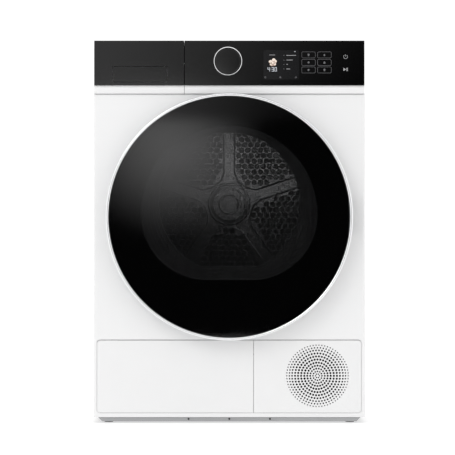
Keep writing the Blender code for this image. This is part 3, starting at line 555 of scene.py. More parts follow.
def make_side_panels():
    for side, sign in (("left", -1), ("right", 1)):
        node = f"{side}_side_panel"
        low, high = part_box(node)
        outer = low.x if sign < 0 else high.x
        carrier_back = back_of("control_housing") + 0.0005
        panel_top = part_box("front_panel")[1].z + GAP
        face = stamped((low.y, high.y), (low.z, high.z), outer, -sign * 0.0016, 0.055, 0.030, 0.001, "x")
        lips = []
        lip = 0.014

        def notch():
            x = (low.x - 0.01, high.x + 0.01)
            return prism(rectangle((low.y - 0.01, carrier_back), (panel_top, high.z + 0.01)), x, "x")

        for y in ((low.y + 0.0001, low.y + 0.0011), (high.y - 0.0011, high.y - 0.0001)):
            x = sorted((outer - sign * 0.0005, outer - sign * lip))
            lips.append(prism(rectangle(x, y), (low.z + 0.0005, high.z - 0.0005), "z"))
        obj = add(f"{node}_skin", gather(face), ENAMEL, "cabinet", (node,))
        carve(obj, notch())
        edges = add(f"{node}_lips", gather(*lips), ENAMEL, "cabinet")
        carve(edges, notch())


def make_top():
    low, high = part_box("top_cover")
    outline = rounded_rectangle((low.x, high.x), (low.y, high.y), 0.004, 6)
    soft = 0.0025
    turns = (0, 30, 60, 90)
    steps = quarter_round(outline, low.z, soft, turns) + quarter_round(outline, high.z, -soft, turns[::-1])
    add("worktop", layered(steps, "z"), ENAMEL, "cabinet", ("top_cover",))


def screw(centre, level, toward, radius=0.0035, axis="y"):
    """A pan-head screw; toward is the way it faces along its axis."""
    profile = [(radius, level), (radius, level + toward * 0.0010), (radius * 0.8, level + toward * 0.0018),
               (radius * 0.3, level + toward * 0.0021)]
    return turned(profile, centre, axis, 20)


def make_rear():
    low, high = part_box("rear_panel")
    outline = rounded_rectangle((low.x, high.x), (low.z, high.z), 0.003, 4)
    holes = [circle(centre, 0.025, 24) for centre in circle(DRUM, 0.155, 12)]
    holes += [circle(centre, 0.022, 24) for centre in circle(DRUM, 0.090, 6)]
    holes.append(circle((middle("motor", 0), middle("motor", 2)), 0.040, 32))
    holes.append(circle(DRUM, 0.020, 32))
    slots = []
    for row in range(7):
        z = 0.110 + row * 0.014
        slots.append(rounded_rectangle((-0.120, -0.050), (z, z + 0.005), 0.0024, 4))
    add("rear_sheet", pierced(outline, holes + slots, high.y, low.y, 0.0002), ZINC, "cabinet",
        ("rear_panel",))
    screws = [(x, z) for x in (low.x + 0.008, high.x - 0.008) for z in (0.06, 0.24, 0.43, 0.62, 0.80)]
    add("rear_screws", gather(*[screw(c, high.y, 1) for c in screws]), SCREW, "cabinet")


def hull_of_circles(first, first_radius, second, second_radius, count):
    run = Vector(second) - Vector(first)
    along = math.atan2(run.y, run.x)
    lean = math.acos((first_radius - second_radius) / run.length)
    wide = arc(first, first_radius, along + lean, along + math.tau - lean, count)
    narrow = arc(second, second_radius, along - lean, along + lean, count // 2)
    return wide + narrow


def make_duct_cover():
    base, top = front_of("rear_duct_cover"), back_of("rear_duct_cover")
    lower = (middle("motor", 0), middle("motor", 2))
    wall = 0.0015

    def outline(offset):
        return hull_of_circles(DRUM, 0.235 + offset, lower, 0.062 + offset, 72)

    steps = [(outline(0.012), base), (outline(0.012), base + wall), (outline(0.001), base + wall),
             (outline(-0.0015), base + wall + 0.002), (outline(-0.0105), top - 0.0035),
             (outline(-0.0125), top - 0.001), (outline(-0.0155), top), (outline(-0.0250), top),
             (outline(-0.0270), top - 0.0015), (outline(-0.034), top - 0.0015), (outline(-0.036), top)]
    add("duct_cover", layered(steps), ZINC, "cabinet", ("rear_duct_cover",))
    rim = outline(0.0065)
    places = [rim[index] for index in range(4, len(rim), 12)]
    add("duct_screws", gather(*[screw(c, base + wall, 1, 0.003) for c in places]), SCREW, "cabinet")


DIVIDER_X = (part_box("service_flap")[1].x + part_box("grille_panel")[0].x) / 2


def insert_outline(outer_x, z):
    """A plinth insert: its two outer corners are round and its two corners at the divider nearly square."""
    wide, tight = (0.0075, 8), (0.0006, 3)
    if outer_x > DIVIDER_X:
        return cornered((DIVIDER_X + SEAM_HALF_GAP, outer_x), z, (wide, tight, tight, wide))
    return cornered((outer_x, DIVIDER_X - SEAM_HALF_GAP), z, (tight, wide, wide, tight))


def make_vent_panel():
    low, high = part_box("grille_panel")
    outline = insert_outline(high.x, (low.z, high.z))
    holes = []
    for number, radius in enumerate(VENT_RINGS, start=1):
        size = 0.0011 + 0.0014 * math.sin(math.pi * (number + 0.5) / (len(VENT_RINGS) + 1.5))
        for centre in circle(FAN, radius, 6 * number):
            holes.append(circle(centre, size, 14))
    add("vent_panel", pierced(outline, holes, low.y, high.y, 0.00015), WHITE, "cabinet",
        ("grille_panel",))


def make_service_flap():
    low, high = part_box("service_flap")
    front = front_of("service_flap")
    plate_back = front + 0.0035
    outline = insert_outline(low.x, (low.z, high.z))
    x = inset((low.x, high.x), 0.020)
    z = (0.045, 0.170)
    ribs = [hoop(rectangle(x, z), rectangle(inset(x, 0.0025), inset(z, 0.0025)),
                 (plate_back - 0.0002, high.y))]
    for share in (0.25, 0.5, 0.75):
        middle_x = x[0] + (x[1] - x[0]) * share
        ribs.append(prism(rectangle(about(middle_x, 0.0012), inset(z, 0.002)),
                          (plate_back - 0.0002, high.y - 0.001)))
    add("service_door", gather(slab(outline, front, plate_back, 0.0004), *ribs), WHITE, "flap",
        ("service_flap",), angle=15)


def make_base():
    front = front_of("base_tray")
    places = [(x, 0.0088) for x in (-0.090, 0.0, 0.090)]
    marks = [screw(c, front + 0.0004, -1, 0.0021) for c in places]
    add("base_screws", gather(*marks), SCREW, "cabinet")
    paint(GREY, "base_tray")


# ---- Control band ----
SEAM_X = (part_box("tank_fascia")[1].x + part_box("control_fascia")[0].x) / 2
SEAM_HALF = 0.0005


def drawer_span():
    return (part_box("tank_fascia")[0].x, SEAM_X - SEAM_HALF)


def control_span():
    return (SEAM_X + SEAM_HALF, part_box("control_fascia")[1].x)


def carrier_profile(rear, lip):
    """(y, z) outline of the white carrier: the strip under the band is gently scooped at its top."""
    low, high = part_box("control_housing")
    strip = low.y
    face = back_of("control_fascia") + GAP
    strip_top = BAND_LOW - 0.0005
    scoop = 0.0018
    points = [(strip + 0.0012, low.z), (strip + 0.0003, low.z + 0.0004), (strip, low.z + 0.0014)]
    points += [(strip, strip_top - 0.0042), (strip + scoop * 0.35, strip_top - 0.0030),
               (strip + scoop, strip_top - 0.0018), (strip + scoop, strip_top), (face, strip_top),
               (face, high.z - 0.0008), (face + 0.0008, high.z)]
    if lip:
        points += [(lip, high.z), (lip, high.z - 0.003), (rear, high.z - 0.003), (rear, low.z)]
    else:
        points += [(rear, high.z), (rear, low.z)]
    return points


def make_carriers():
    low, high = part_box("control_housing")
    obj = add("control_carrier", prism(carrier_profile(high.y, None), control_span(), "x"), WHITE,
              "cabinet", ("control_housing",), angle=26)
    face = back_of("control_fascia") + GAP
    carve(obj, prism(rectangle(inset((low.x, high.x), 0.0025), (low.z + 0.0025, high.z - 0.0025)),
                     (face + 0.0028, high.y + 0.01)),
          prism(circle(KNOB, 0.005, 24), (low.y - 0.01, high.y)))

    low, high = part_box("tank_front")
    rear = -0.2754
    obj = add("tank_carrier", prism(carrier_profile(rear, high.y - 0.002), drawer_span(), "x"), WHITE,
              "tank", ("tank_front",), angle=26)
    grip_low, grip_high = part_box("grip_flap")
    pocket = rectangle((grip_low.x - 0.0004, grip_high.x + 0.0004),
                       (grip_low.z - 0.0004, grip_high.z + 0.0022))
    end_wall = prism(rectangle((low.x, low.x + 0.0025), (low.z + 0.0002, high.z - 0.002)),
                     (rear - 0.002, back_of("control_housing")))
    carve(obj, prism(grown(pocket, 0.0022), (rear - 0.002, high.y)), end_wall, operation="UNION")
    carve(obj, prism(pocket, (low.y - 0.01, high.y - 0.0025)))


def make_fascia():
    low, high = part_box("control_fascia")
    outline = rounded_rectangle(control_span(), (low.z, high.z), 0.0008, 4)
    add("control_glass", pierced(outline, [circle(KNOB, 0.005, 32)], low.y, high.y, 0.0004), BLACK,
        "cabinet", ("control_fascia",))
    low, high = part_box("tank_fascia")
    outline = rounded_rectangle(drawer_span(), (low.z, high.z), 0.0008, 4)
    grip_low, grip_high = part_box("grip_flap")
    hole = rounded_rectangle((grip_low.x - 0.0008, grip_high.x + 0.0008),
                             (grip_low.z - 0.0008, grip_high.z + 0.0008), 0.002, 5)
    add("tank_glass", pierced(outline, [hole], low.y, high.y, 0.0004), BLACK, "tank",
        ("tank_fascia",))
    plate = slab(rounded_rectangle((grip_low.x, grip_high.x), (grip_low.z, grip_high.z), 0.0016, 5),
                 grip_low.y + 0.00005, grip_low.y + 0.0022, 0.0004)
    pivot = joint("grip_swing")["pos_m"]
    barrel = prism(circle((pivot[1], pivot[2]), 0.0012, 16), (grip_low.x + 0.0005, grip_high.x - 0.0005),
                   "x")
    add("grip_plate", gather(plate, barrel), BLACK, "grip", ("grip_flap",), angle=8)


def make_knob():
    low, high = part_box("knob_ring")
    radius = half_size("knob_ring", 0)
    bore = radius - 0.0030
    tip = low.y
    profile = [(bore, high.y)]
    profile += shifted([(0, 0.0030), (0.0004, 0.0012), (0.0010, 0.0003), (0.0016, 0)], bore, tip)
    profile += shifted([(-0.0006, 0.0006), (-0.0001, 0.0016), (0, 0.0030)], radius, tip)
    profile += shifted([(0, -0.0012), (-0.0006, -0.0009), (-0.0006, 0)], radius, high.y)
    add("knob_bezel", turned(profile, KNOB, closed=True), CHROME, "knob", ("knob_ring",))
    front, back = front_of("knob_cap"), back_of("knob_cap")
    cap = half_size("knob_cap", 0)
    profile = []
    for step in range(9):
        share = max(0.04, step / 8)
        profile.append((cap * share * 0.95, front + 0.00012 * share ** 2))
    profile += [(cap * 0.985, front + 0.0009), (cap, front + 0.0024), (cap, high.y), (0.004, high.y),
                (0.004, back)]
    add("knob_face", turned(profile, KNOB), KNOB_BLACK, "knob", ("knob_cap",), angle=15)


def mark(outline, lift=1.0):
    """A print or icon that stands a hair proud of the band."""
    return prism(outline, (FASCIA_Y - PRINT_HEIGHT * lift, FASCIA_Y + 0.0002))


def add_print(name, marks, material):
    add(name, gather(*marks), material, "cabinet")


def bar(x, z, lift=1.0):
    return mark(rectangle(x, z), lift)


def outline_mark(outline, width, lift=1.0):
    return hoop(outline, grown(outline, -width), (FASCIA_Y - PRINT_HEIGHT * lift, FASCIA_Y + 0.0002))


SEGMENTS = {"a": ((0, 1), (1, 1)), "b": ((1, 0.5), (1, 1)), "c": ((1, 0), (1, 0.5)), "d": ((0, 0), (1, 0)),
            "e": ((0, 0), (0, 0.5)), "f": ((0, 0.5), (0, 1)), "g": ((0, 0.5), (1, 0.5))}
DIGITS = {"4": "fgbc", "3": "abgcd", "0": "abcdef"}


def digit_bars(character, x, z, width, height, stroke, lift):
    bars = []
    for key in DIGITS[character]:
        (u0, v0), (u1, v1) = SEGMENTS[key]
        bars.append(bar((x + u0 * width - stroke / 2, x + u1 * width + stroke / 2),
                        (z + v0 * height - stroke / 2, z + v1 * height + stroke / 2), lift))
    return bars


DISPLAY_X = (0.0754, 0.1540)
DISPLAY_Z = (0.7587, 0.8235)
ICON_ROW = 0.7637
PICTURE = (0.0960, 0.7965)
LIT_LIFT = 1.2


def make_display():
    add("display_window", mark(rounded_rectangle(DISPLAY_X, DISPLAY_Z, 0.003, 6), 0.5), SCREEN, "cabinet")
    lit = []
    cursor = 0.0852
    for character in "4:30":
        if character == ":":
            lit += [bar((cursor, cursor + 0.0008), (level, level + 0.0008), LIT_LIFT)
                    for level in (0.7795, 0.7832)]
            cursor += 0.0024
            continue
        lit += digit_bars(character, cursor, 0.7772, 0.0040, 0.0084, 0.0009, LIT_LIFT)
        cursor += 0.0064
    faint = [bar((0.0885, 0.1010), (0.8126, 0.8136), LIT_LIFT)]
    rows = [(0.8122, 0.0210), (0.8019, 0.0140), (0.7925, 0.0030), (0.7822, 0.0080)]
    for level, length in rows:
        faint.append(bar((0.1262, 0.1262 + length), (level - 0.0006, level + 0.0006), LIT_LIFT))
        faint.append(mark(circle((0.1205, level), 0.0006, 10), LIT_LIFT))
    add_print("display_rows", faint, PRINT)
    lit.append(mark(circle((0.1450, 0.8205), 0.0009, 10), LIT_LIFT))
    add_print("display_lines", lit, LIT)
    puffs = [(0.0, 0.0, 0.0052), (0.0050, 0.0022, 0.0040), (-0.0050, 0.0016, 0.0038),
             (0.0020, 0.0052, 0.0040), (-0.0024, -0.0042, 0.0040), (0.0036, -0.0040, 0.0036)]
    cotton = [mark(circle((PICTURE[0] + u, PICTURE[1] + v), r, 24), 1.0 + 0.08 * index)
              for index, (u, v, r) in enumerate(puffs)]
    add_print("display_picture", cotton, WARM_LIT)
    # Painted shade in the display picture: a darker crescent on the lower side of each puff.
    shade_crescents = [mark(arc((PICTURE[0] + u, PICTURE[1] + v), r, math.radians(200), math.radians(340), 10)
                  + arc((PICTURE[0] + u, PICTURE[1] + v), r * 0.60, math.radians(330),
                        math.radians(210), 10), 1.7)
             for u, v, r in puffs]
    add_print("display_picture_folds", shade_crescents, PICTURE_SHADE_LIT)
    icons = []
    for centre in (0.0795, 0.1127, 0.1470):
        icons.append(outline_mark(circle((centre, ICON_ROW), 0.0020, 20), 0.0006, LIT_LIFT))
    icons.append(bar((0.0788, 0.0802), (0.7634, 0.7640), LIT_LIFT))
    icons.append(mark(circle((0.1127, ICON_ROW), 0.0010, 12), LIT_LIFT))
    icons.append(bar((0.1467, 0.1473), (0.7628, 0.7646), LIT_LIFT))
    add_print("display_icons", icons, DIM_PRINT)


# Key pictures, from -1 to 1.
SHIRT = [(-0.6, 0.1), (-0.6, -1), (0.6, -1), (0.6, 0.1), (1, 0.5), (0.4, 1), (-0.4, 1), (-1, 0.5)]
DROP = arc((0, -0.3), 0.7, math.radians(150), math.radians(390), 12) + [(0, 1)]
DIAMOND = [(1, 0), (0, 1), (-1, 0), (0, -1)]
HOUSE = [(0.8, -1), (0.8, 0.1), (0, 1), (-0.8, 0.1), (-0.8, -1)]
KEY_PICTURES = (SHIRT, DROP, DIAMOND, HOUSE, DIAMOND, SHIRT)
PICTURE_SCALE = 0.0027


def make_touch_keys():
    columns = ((0.1597, 0.1903), (0.1946, 0.2255))
    rows = ((0.8062, 0.8203), (0.7895, 0.8037), (0.7730, 0.7870))
    frames = [outline_mark(rounded_rectangle(x, z, 0.0032, 5), 0.0006) for x in columns for z in rows]
    add_print("key_frames", frames, DIM_PRINT)
    icons = []
    for index, picture in enumerate(KEY_PICTURES):
        x = sum(columns[index % 2]) / 2
        z = sum(rows[index // 2]) / 2
        icons.append(mark([(x + PICTURE_SCALE * u, z + PICTURE_SCALE * v) for u, v in picture]))
    add_print("key_icons", icons, DIM_PRINT)
    power = (0.2568, 0.8093)
    ring_outer = arc(power, 0.0047, math.radians(125), math.radians(415), 24)
    ring_inner = arc(power, 0.0039, math.radians(415), math.radians(125), 24)
    start = (0.2566, 0.7811)
    symbols = [mark(ring_outer + ring_inner),
               bar(about(power[0], 0.00045), (power[1] + 0.0006, power[1] + 0.0050)),
               mark([(start[0] - 0.0046, start[1] - 0.0036), (start[0] + 0.0012, start[1]),
                     (start[0] - 0.0046, start[1] + 0.0036)])]
    for offset in (0.0020, 0.0040):
        symbols.append(bar((start[0] + offset, start[0] + offset + 0.0011), about(start[1], 0.0036)))
    add_print("power_and_start_marks", symbols, PRINT)


# ---- Door ----
def make_door_ring():
    low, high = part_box("door_ring")
    front = low.y
    radius = DOOR_RADIUS
    lip = half_size("door_glass", 0) + GAP
    waist = -0.3010
    inner_edge = [(0, 0.0065), (0, 0.0022), (0.0006, 0.0009), (0.0018, 0.0002), (0.0030, 0)]
    outer_edge = [(-0.0024, 0.0001), (-0.0010, 0.0007), (-0.0002, 0.0019), (0, 0.0034)]
    profile = shifted(inner_edge, lip, front) + shifted(outer_edge, radius, front)
    profile += [(radius, waist), (radius - 0.0006, waist + 0.0015)]
    profile += shifted([(-0.0095, 0.0004), (-0.0105, 0), (-0.0120, 0), (-0.0120, -0.0008)], radius, high.y)
    profile += [(radius - 0.0025, waist), (radius - 0.0025, front + 0.0065)]
    obj = add("door_rim", turned(profile, DOOR, count=160, closed=True), SILVER, "door",
              ("door_ring",))
    carve(obj, prism(rectangle((0.250, 0.290), about(DOOR[1], NOTCH_HALF)), (-0.3175, -0.270)))


def make_door_glass():
    low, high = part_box("door_glass")
    radius = half_size("door_glass", 0)
    dome = 0.0030
    profile = []
    for step in range(13):
        share = max(0.02, step / 12)
        profile.append(((radius - 0.0012) * share, low.y + dome * share ** 2 * 0.55))
    edge_y = profile[-1][1]
    profile += [(radius - 0.0004, edge_y + 0.0003), (radius, edge_y + 0.0010), (radius, high.y - 0.0004),
                (0.02 * radius, high.y - 0.0004)]
    add("door_pane", turned(profile, DOOR, count=160), GLASS, "door", ("door_glass",),
        angle=12)
    mask = pierced(circle(DOOR, radius - 0.0015, 160), [mouth_outline(0.0015)], high.y - 0.0002,
                   high.y + 0.0003, 0.0001)
    add("door_pane_border", mask, MASK, "door")


def make_door_frame():
    low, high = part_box("door_frame")
    radius = half_size("door_frame", 2)
    notch = 0.2485
    outer = notched_circle(DOOR, radius, notch, NOTCH_HALF)
    inner = notched_circle(DOOR, radius - 0.002, notch - 0.002, NOTCH_HALF + 0.002)
    back_plate = pierced(outer, [mouth_outline(0.0005)], high.y, high.y - 0.0025, 0.0008)
    wall = hoop(outer, inner, (low.y + 0.0012, high.y - 0.0024))
    collar = hoop(mouth_outline(0.0035), mouth_outline(0.0005), (low.y + 0.0012, high.y - 0.0024))
    ribs = []
    for index in range(24):
        angle = math.tau * (index + 0.5) / 24
        direction = Vector((math.cos(angle), math.sin(angle)))
        if direction.x > 0.93:
            continue
        across = Vector((-direction.y, direction.x)) * 0.0009
        start = Vector(DOOR) + direction * 0.2080
        end = Vector(DOOR) + direction * 0.2560
        ribs.append(prism(rib_outline(start, end, across), (low.y + 0.006, high.y - 0.0024)))
    add("door_inner", gather(back_plate, wall, collar, *ribs), DARK, "door",
        ("door_frame",))


def make_door_bowl():
    low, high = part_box("door_bowl")
    base = back_of("door_frame")
    wall = 0.0040
    front = low.y
    rear = high.y
    outer = [(-0.0240, rear), (-0.0205, rear - 0.0006), (-0.0175, rear - 0.0026),
             (-0.0150, rear - 0.0060), (-0.0060, rear - 0.0160), (-0.0030, rear - 0.0205),
             (-0.0012, base + 0.0012), (-0.0004, base), (-0.0002, front + 0.0008)]
    inner = [(-0.0012, front), (-wall, front + 0.0004), (-wall, base), (-0.0072, rear - 0.0220),
             (-0.0190, rear - 0.0080), (-0.0225, rear - 0.0048), (-0.0275, rear - 0.0040)]
    steps = [(mouth_outline(offset), y) for offset, y in outer + inner]
    add("door_bowl_glass", layered(steps), BOWL, "door", ("door_bowl",), angle=50)


def make_seal():
    low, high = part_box("door_seal")
    bulge = [(0.0090, 0.0035), (0.0084, 0.0012), (0.0070, 0.0001), (0.0058, 0.0001), (0.0048, 0.0010),
             (0.0044, 0.0030), (0.0032, 0.0042)]
    offsets = [(0.0090, high.y)] + shifted(bulge, 0, low.y) + [(0.0030, high.y)]
    add("mouth_seal", layered([(mouth_outline(o), y) for o, y in offsets], closed=True), RUBBER,
        "cabinet", ("door_seal",))


# ---- Mouth, filter and drum ----
ROUND_MOUTH_RADIUS = 0.157
ROUND_MOUTH_FLOOR = 0.3459
FUNNEL_LIP = [(0.0045, -0.2808), (0.0010, -0.2700), (-0.0020, -0.2610)]
FUNNEL_TREADS = [(0.10, -0.2600), (0.24, -0.2592), (0.26, -0.2545), (0.40, -0.2535), (0.42, -0.2485),
                 (0.63, -0.2470), (0.65, -0.2410), (0.79, -0.2395), (0.81, -0.2320), (0.98, -0.2300),
                 (1.00, -0.2200), (1.00, -0.2080)]
LID_HALF = 0.1185
LID_Y = (-0.2602, -0.2194)
LID_Z = (0.2000, 0.4000)
FILTER_GAP = 0.0008
RIB_SPAN = (0.055, 0.138)
RIB_HIGHEST = 0.085
RIB_HALF_WIDTH = 0.0009
RIB_RUNS = ((0.11, 0.23, -0.2596), (0.27, 0.39, -0.2540), (0.66, 0.78, -0.2403))


def rear_point(point):
    """Where a point of the D-shaped window lies on the funnel's round rear edge, with its flat floor."""
    outward = Vector(point) - Vector(DRUM)
    outward.normalize()
    reach = ROUND_MOUTH_RADIUS
    if outward.y < 0:
        reach = min(reach, (DRUM[1] - ROUND_MOUTH_FLOOR) / -outward.y)
    return Vector(DRUM) + outward * reach


def funnel_outline(share, detail=2):
    return [tuple(Vector(p).lerp(rear_point(p), share)) for p in mouth_outline(0.0, detail)]


def funnel_loft():
    """The stepped funnel between the door's D-shaped window and the round mouth of the drum."""
    inner = [(mouth_outline(offset, 2), y) for offset, y in FUNNEL_LIP]
    inner += [(funnel_outline(share), y) for share, y in FUNNEL_TREADS]
    outer = [(mouth_outline(offset + 0.0022, 2), y) for offset, y in FUNNEL_LIP]
    outer += [(funnel_outline(share - 0.06), y + 0.0018 * min(1.0, 2 * (1 - share)))
              for share, y in FUNNEL_TREADS]
    return layered(inner + outer[::-1], closed=True)


def funnel_ribs(on_lid):
    """Short comb ribs across three of the funnel's steps at its lower left and right."""
    window = mouth_outline(0.0, 3)
    ribs = []
    for index in range(0, len(window), 2):
        x, z = window[index]
        if not RIB_SPAN[0] < abs(x) < RIB_SPAN[1] or z > MOUTH_Z - RIB_HIGHEST:
            continue
        if (abs(x) < LID_HALF - 0.004) != on_lid:
            continue
        if abs(abs(x) - LID_HALF) < 0.003:
            continue
        following = Vector(window[(index + 1) % len(window)])
        tangent = (following - Vector(window[index - 1])).normalized() * RIB_HALF_WIDTH
        for near, far, level in RIB_RUNS:
            start = Vector((x, z)).lerp(rear_point((x, z)), near)
            end = Vector((x, z)).lerp(rear_point((x, z)), far)
            ribs.append(prism(rib_outline(start, end, tangent), (level - 0.0016, level + 0.0006)))
    return gather(*ribs)


def filter_room(gap=0.0):
    """The block of space that the filter is lifted through, or with a gap the lid that fills it."""
    half = LID_HALF + FILTER_GAP - gap
    depth = inset(LID_Y, gap - FILTER_GAP)
    return prism(rectangle((-half, half), inset(LID_Z, gap)), depth)


def make_bulkhead():
    low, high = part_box("front_bulkhead")
    plate_front, plate_back = -0.2245, -0.2220
    plate = rounded_rectangle((low.x, high.x), (low.z, high.z), 0.060, 12)
    obj = add("mouth_funnel", funnel_loft(), MOUTH_GREY, "cabinet", ("front_bulkhead",),
              angle=30)
    slot = LID_HALF + FILTER_GAP
    carve(obj, filter_room())
    hole = [tuple(Vector(p) + (Vector(p) - Vector(DRUM)).normalized() * 0.003) for p in funnel_outline(1.0)]
    sheet = pierced(plate, [hole], plate_front, plate_back, 0.0004)
    plate_obj = add("bulkhead_plate", sheet, GREY, "cabinet")
    carve(plate_obj, filter_room())
    wall = 0.0030
    duct_y = (front_of("lint_filter") - 0.0050, plate_front - 0.0004)
    front_wall = prism(rectangle((-slot - wall, slot + wall), (low.z, 0.3150)),
                       (duct_y[0], duct_y[0] + 0.0025))
    sides = [prism(rectangle(x, (low.z, 0.3250)), duct_y)
             for x in ((-slot - wall, -slot), (slot, slot + wall))]
    back_wall = prism(rectangle((-slot - wall, slot + wall), (low.z, 0.3300)),
                      (LID_Y[1] + 0.0008, LID_Y[1] + 0.0028))
    pins = [prism(circle((side * abs(middle("roller_left", 0)), middle("roller_left", 2)), 0.004, 20),
                  (plate_back - 0.001, -0.198))
            for side in (-1, 1)]
    add("filter_duct", gather(front_wall, back_wall, *sides, *pins), GREY, "cabinet")
    ribs = add("mouth_ribs", funnel_ribs(False), MOUTH_GREY, "cabinet")
    carve(ribs, filter_room())


def make_filter():
    low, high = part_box("lint_filter")
    lid = add("filter_lid", funnel_loft(), MOUTH_GREY, "filter", ("lint_filter",), angle=30)
    carve(lid, filter_room(FILTER_GAP), operation="INTERSECT")
    slots = [prism(rounded_rectangle(x, (0.3292, 0.3372), 0.002, 4), (-0.2600, -0.2350))
             for x in ((-0.049, -0.014), (0.014, 0.049))]
    carve(lid, *slots)
    ribs = add("filter_ribs", funnel_ribs(True), MOUTH_GREY, "filter")
    carve(ribs, filter_room(FILTER_GAP), operation="INTERSECT")
    top = low.z + 0.098
    frame_x = (low.x, high.x)
    frame_outer = rectangle(frame_x, (low.z, top))
    sides = []
    columns = 6
    pitch = (frame_x[1] - frame_x[0] - 0.008) / columns
    for y in ((low.y, low.y + 0.0025), (high.y - 0.0025, high.y)):
        cells = []
        for index in range(columns):
            x0 = frame_x[0] + 0.006 + index * pitch
            cells.append(rounded_rectangle((x0, x0 + pitch - 0.004), (low.z + 0.008, top - 0.008),
                                           0.003, 3))
        sides.append(pierced(frame_outer, cells, y[0], y[1], 0.0003))
    depth = inset((low.y, high.y), 0.002)
    ends = [prism(rectangle(x, (low.z, top)), depth)
            for x in ((low.x, low.x + 0.0025), (high.x - 0.0025, high.x))]
    sole = prism(rectangle(inset(frame_x, 0.002), (low.z, low.z + 0.003)), depth)
    add("filter_frame", gather(*sides, *ends, sole), GREY, "filter")
    gauze = [prism(rectangle(inset(frame_x, 0.004), (low.z + 0.005, top - 0.004)), about(y, 0.0003))
             for y in (low.y + 0.0016, high.y - 0.0016)]
    add("filter_gauze", gather(*gauze), RUBBER, "filter")


def sector_outline(index, shrink=0.0):
    """One perforated field of the drum's rear wall, between two spokes, counter-clockwise."""
    start = math.pi / 2 + index * math.tau / SPOKES
    end = start + math.tau / SPOKES
    half = SPOKE_HALF + shrink
    outer = SECTOR_RADIUS - shrink
    flat = HUB_FLAT + shrink
    bisector = (start + end) / 2
    lean = math.asin(half / outer)
    rim = arc((0, 0), outer, start + lean, end - lean, 20)
    reach = []
    for angle, side in ((end, -1), (start, 1)):
        along = Vector((math.cos(angle), math.sin(angle)))
        normal = Vector((-along.y, along.x)) * side
        towards = Vector((math.cos(bisector), math.sin(bisector)))
        base = normal * half
        distance = (flat - base.dot(towards)) / along.dot(towards)
        reach.append((base + along * distance, along))
    corner_end, end_along = reach[0]
    corner_start, start_along = reach[1]
    cut = 0.012
    chord = (corner_start - corner_end).normalized()
    points = rim + [tuple(corner_end + end_along * cut), tuple(corner_end + chord * cut),
                    tuple(corner_start - chord * cut), tuple(corner_start + start_along * cut)]
    return [(DRUM[0] + x, DRUM[1] + z) for x, z in points]


def inside(point, outline):
    x, z = point
    hit = False
    for index in range(len(outline)):
        (x0, z0), (x1, z1) = outline[index - 1], outline[index]
        if (z0 > z) != (z1 > z) and x < (x1 - x0) * (z - z0) / (z1 - z0) + x0:
            hit = not hit
    return hit


BACK_Y = 0.2520
HOLE_RIM = shifted([(-0.0001, 0.0004), (-0.0001, -0.0010), (0.0006, -0.0015), (0.0016, -0.0006),
                    (0.0020, 0.0004)], DRUM_HOLE_RADIUS, BACK_Y)


def make_drum_back():
    rim = half_size("drum_back", 2)
    rows = int(rim / (DRUM_HOLE_PITCH * math.sin(math.pi / 3))) + 1
    lattice = []
    for row in range(-rows, rows + 1):
        z = DRUM[1] + row * DRUM_HOLE_PITCH * math.sin(math.pi / 3)
        shift = DRUM_HOLE_PITCH / 2 if row % 2 else 0.0
        for column in range(-rows, rows + 1):
            lattice.append((DRUM[0] + column * DRUM_HOLE_PITCH + shift, z))
    centres, borders = [], []
    for index in range(SPOKES):
        field = sector_outline(index, FIELD_MARGIN)
        centres += [p for p in lattice if inside(p, field)]
        edge = sector_outline(index)
        borders.append(layered([(grown(edge, 0.0035), BACK_Y + 0.0002),
                                (grown(edge, 0.0030), BACK_Y - 0.0022),
                                (grown(edge, 0.0010), BACK_Y - 0.0030), (edge, BACK_Y - 0.0022),
                                (grown(edge, -0.0006), BACK_Y + 0.0002)],
                               closed=True))
    holes = [circle(p, DRUM_HOLE_RADIUS, 12) for p in centres]
    wall = pierced(circle(DRUM, rim, ROUND), holes, BACK_Y, BACK_Y + 0.0022, 0.0005)
    add("drum_rear_wall", wall, BACK_STEEL, "drum", ("drum_back",))
    rims = [turned(HOLE_RIM, p, count=14, closed=True) for p in centres]
    add("drum_rear_rims", gather(*rims), BACK_STEEL, "drum", angle=60)
    add("drum_rear_ridges", gather(*borders), BACK_STEEL, "drum")
    tip = front_of("drum_back")
    hub = [(0.001, 0.0016), (0.0200, 0.0016), (0.0212, 0.0004), (0.0228, 0), (0.0244, 0.0004),
           (0.0256, 0.0022), (0.0360, 0.0022), (0.0372, 0.0008), (0.0392, 0.0008), (0.0404, 0.0030),
           (0.0455, 0.0036), (0.0470, 0.0022), (0.0490, 0.0022), (0.0505, 0.0060)]
    profile = shifted(hub, 0, tip) + [(0.0515, BACK_Y + 0.0002), (0.001, BACK_Y + 0.0004)]
    stud = shifted([(0.0020, 0.0045), (0.0020, 0.0020), (0.0013, 0.0012), (0.0004, 0.0010)], 0, tip)
    studs = [turned(stud, centre, count=14) for centre in circle(DRUM, 0.0320, SPOKES * 2)]
    add("drum_hub_cap", gather(turned(profile, DRUM), *studs), BACK_STEEL, "drum")
    axle = turned([(0.018, BACK_Y + 0.0020), (0.018, BACK_Y + 0.0035), (0.0117, BACK_Y + 0.0045),
                   (0.0117, 0.2980), (0.0107, back_of("drum_back"))],
                  DRUM, count=48)
    add("drum_axle", axle, ZINC, "drum")


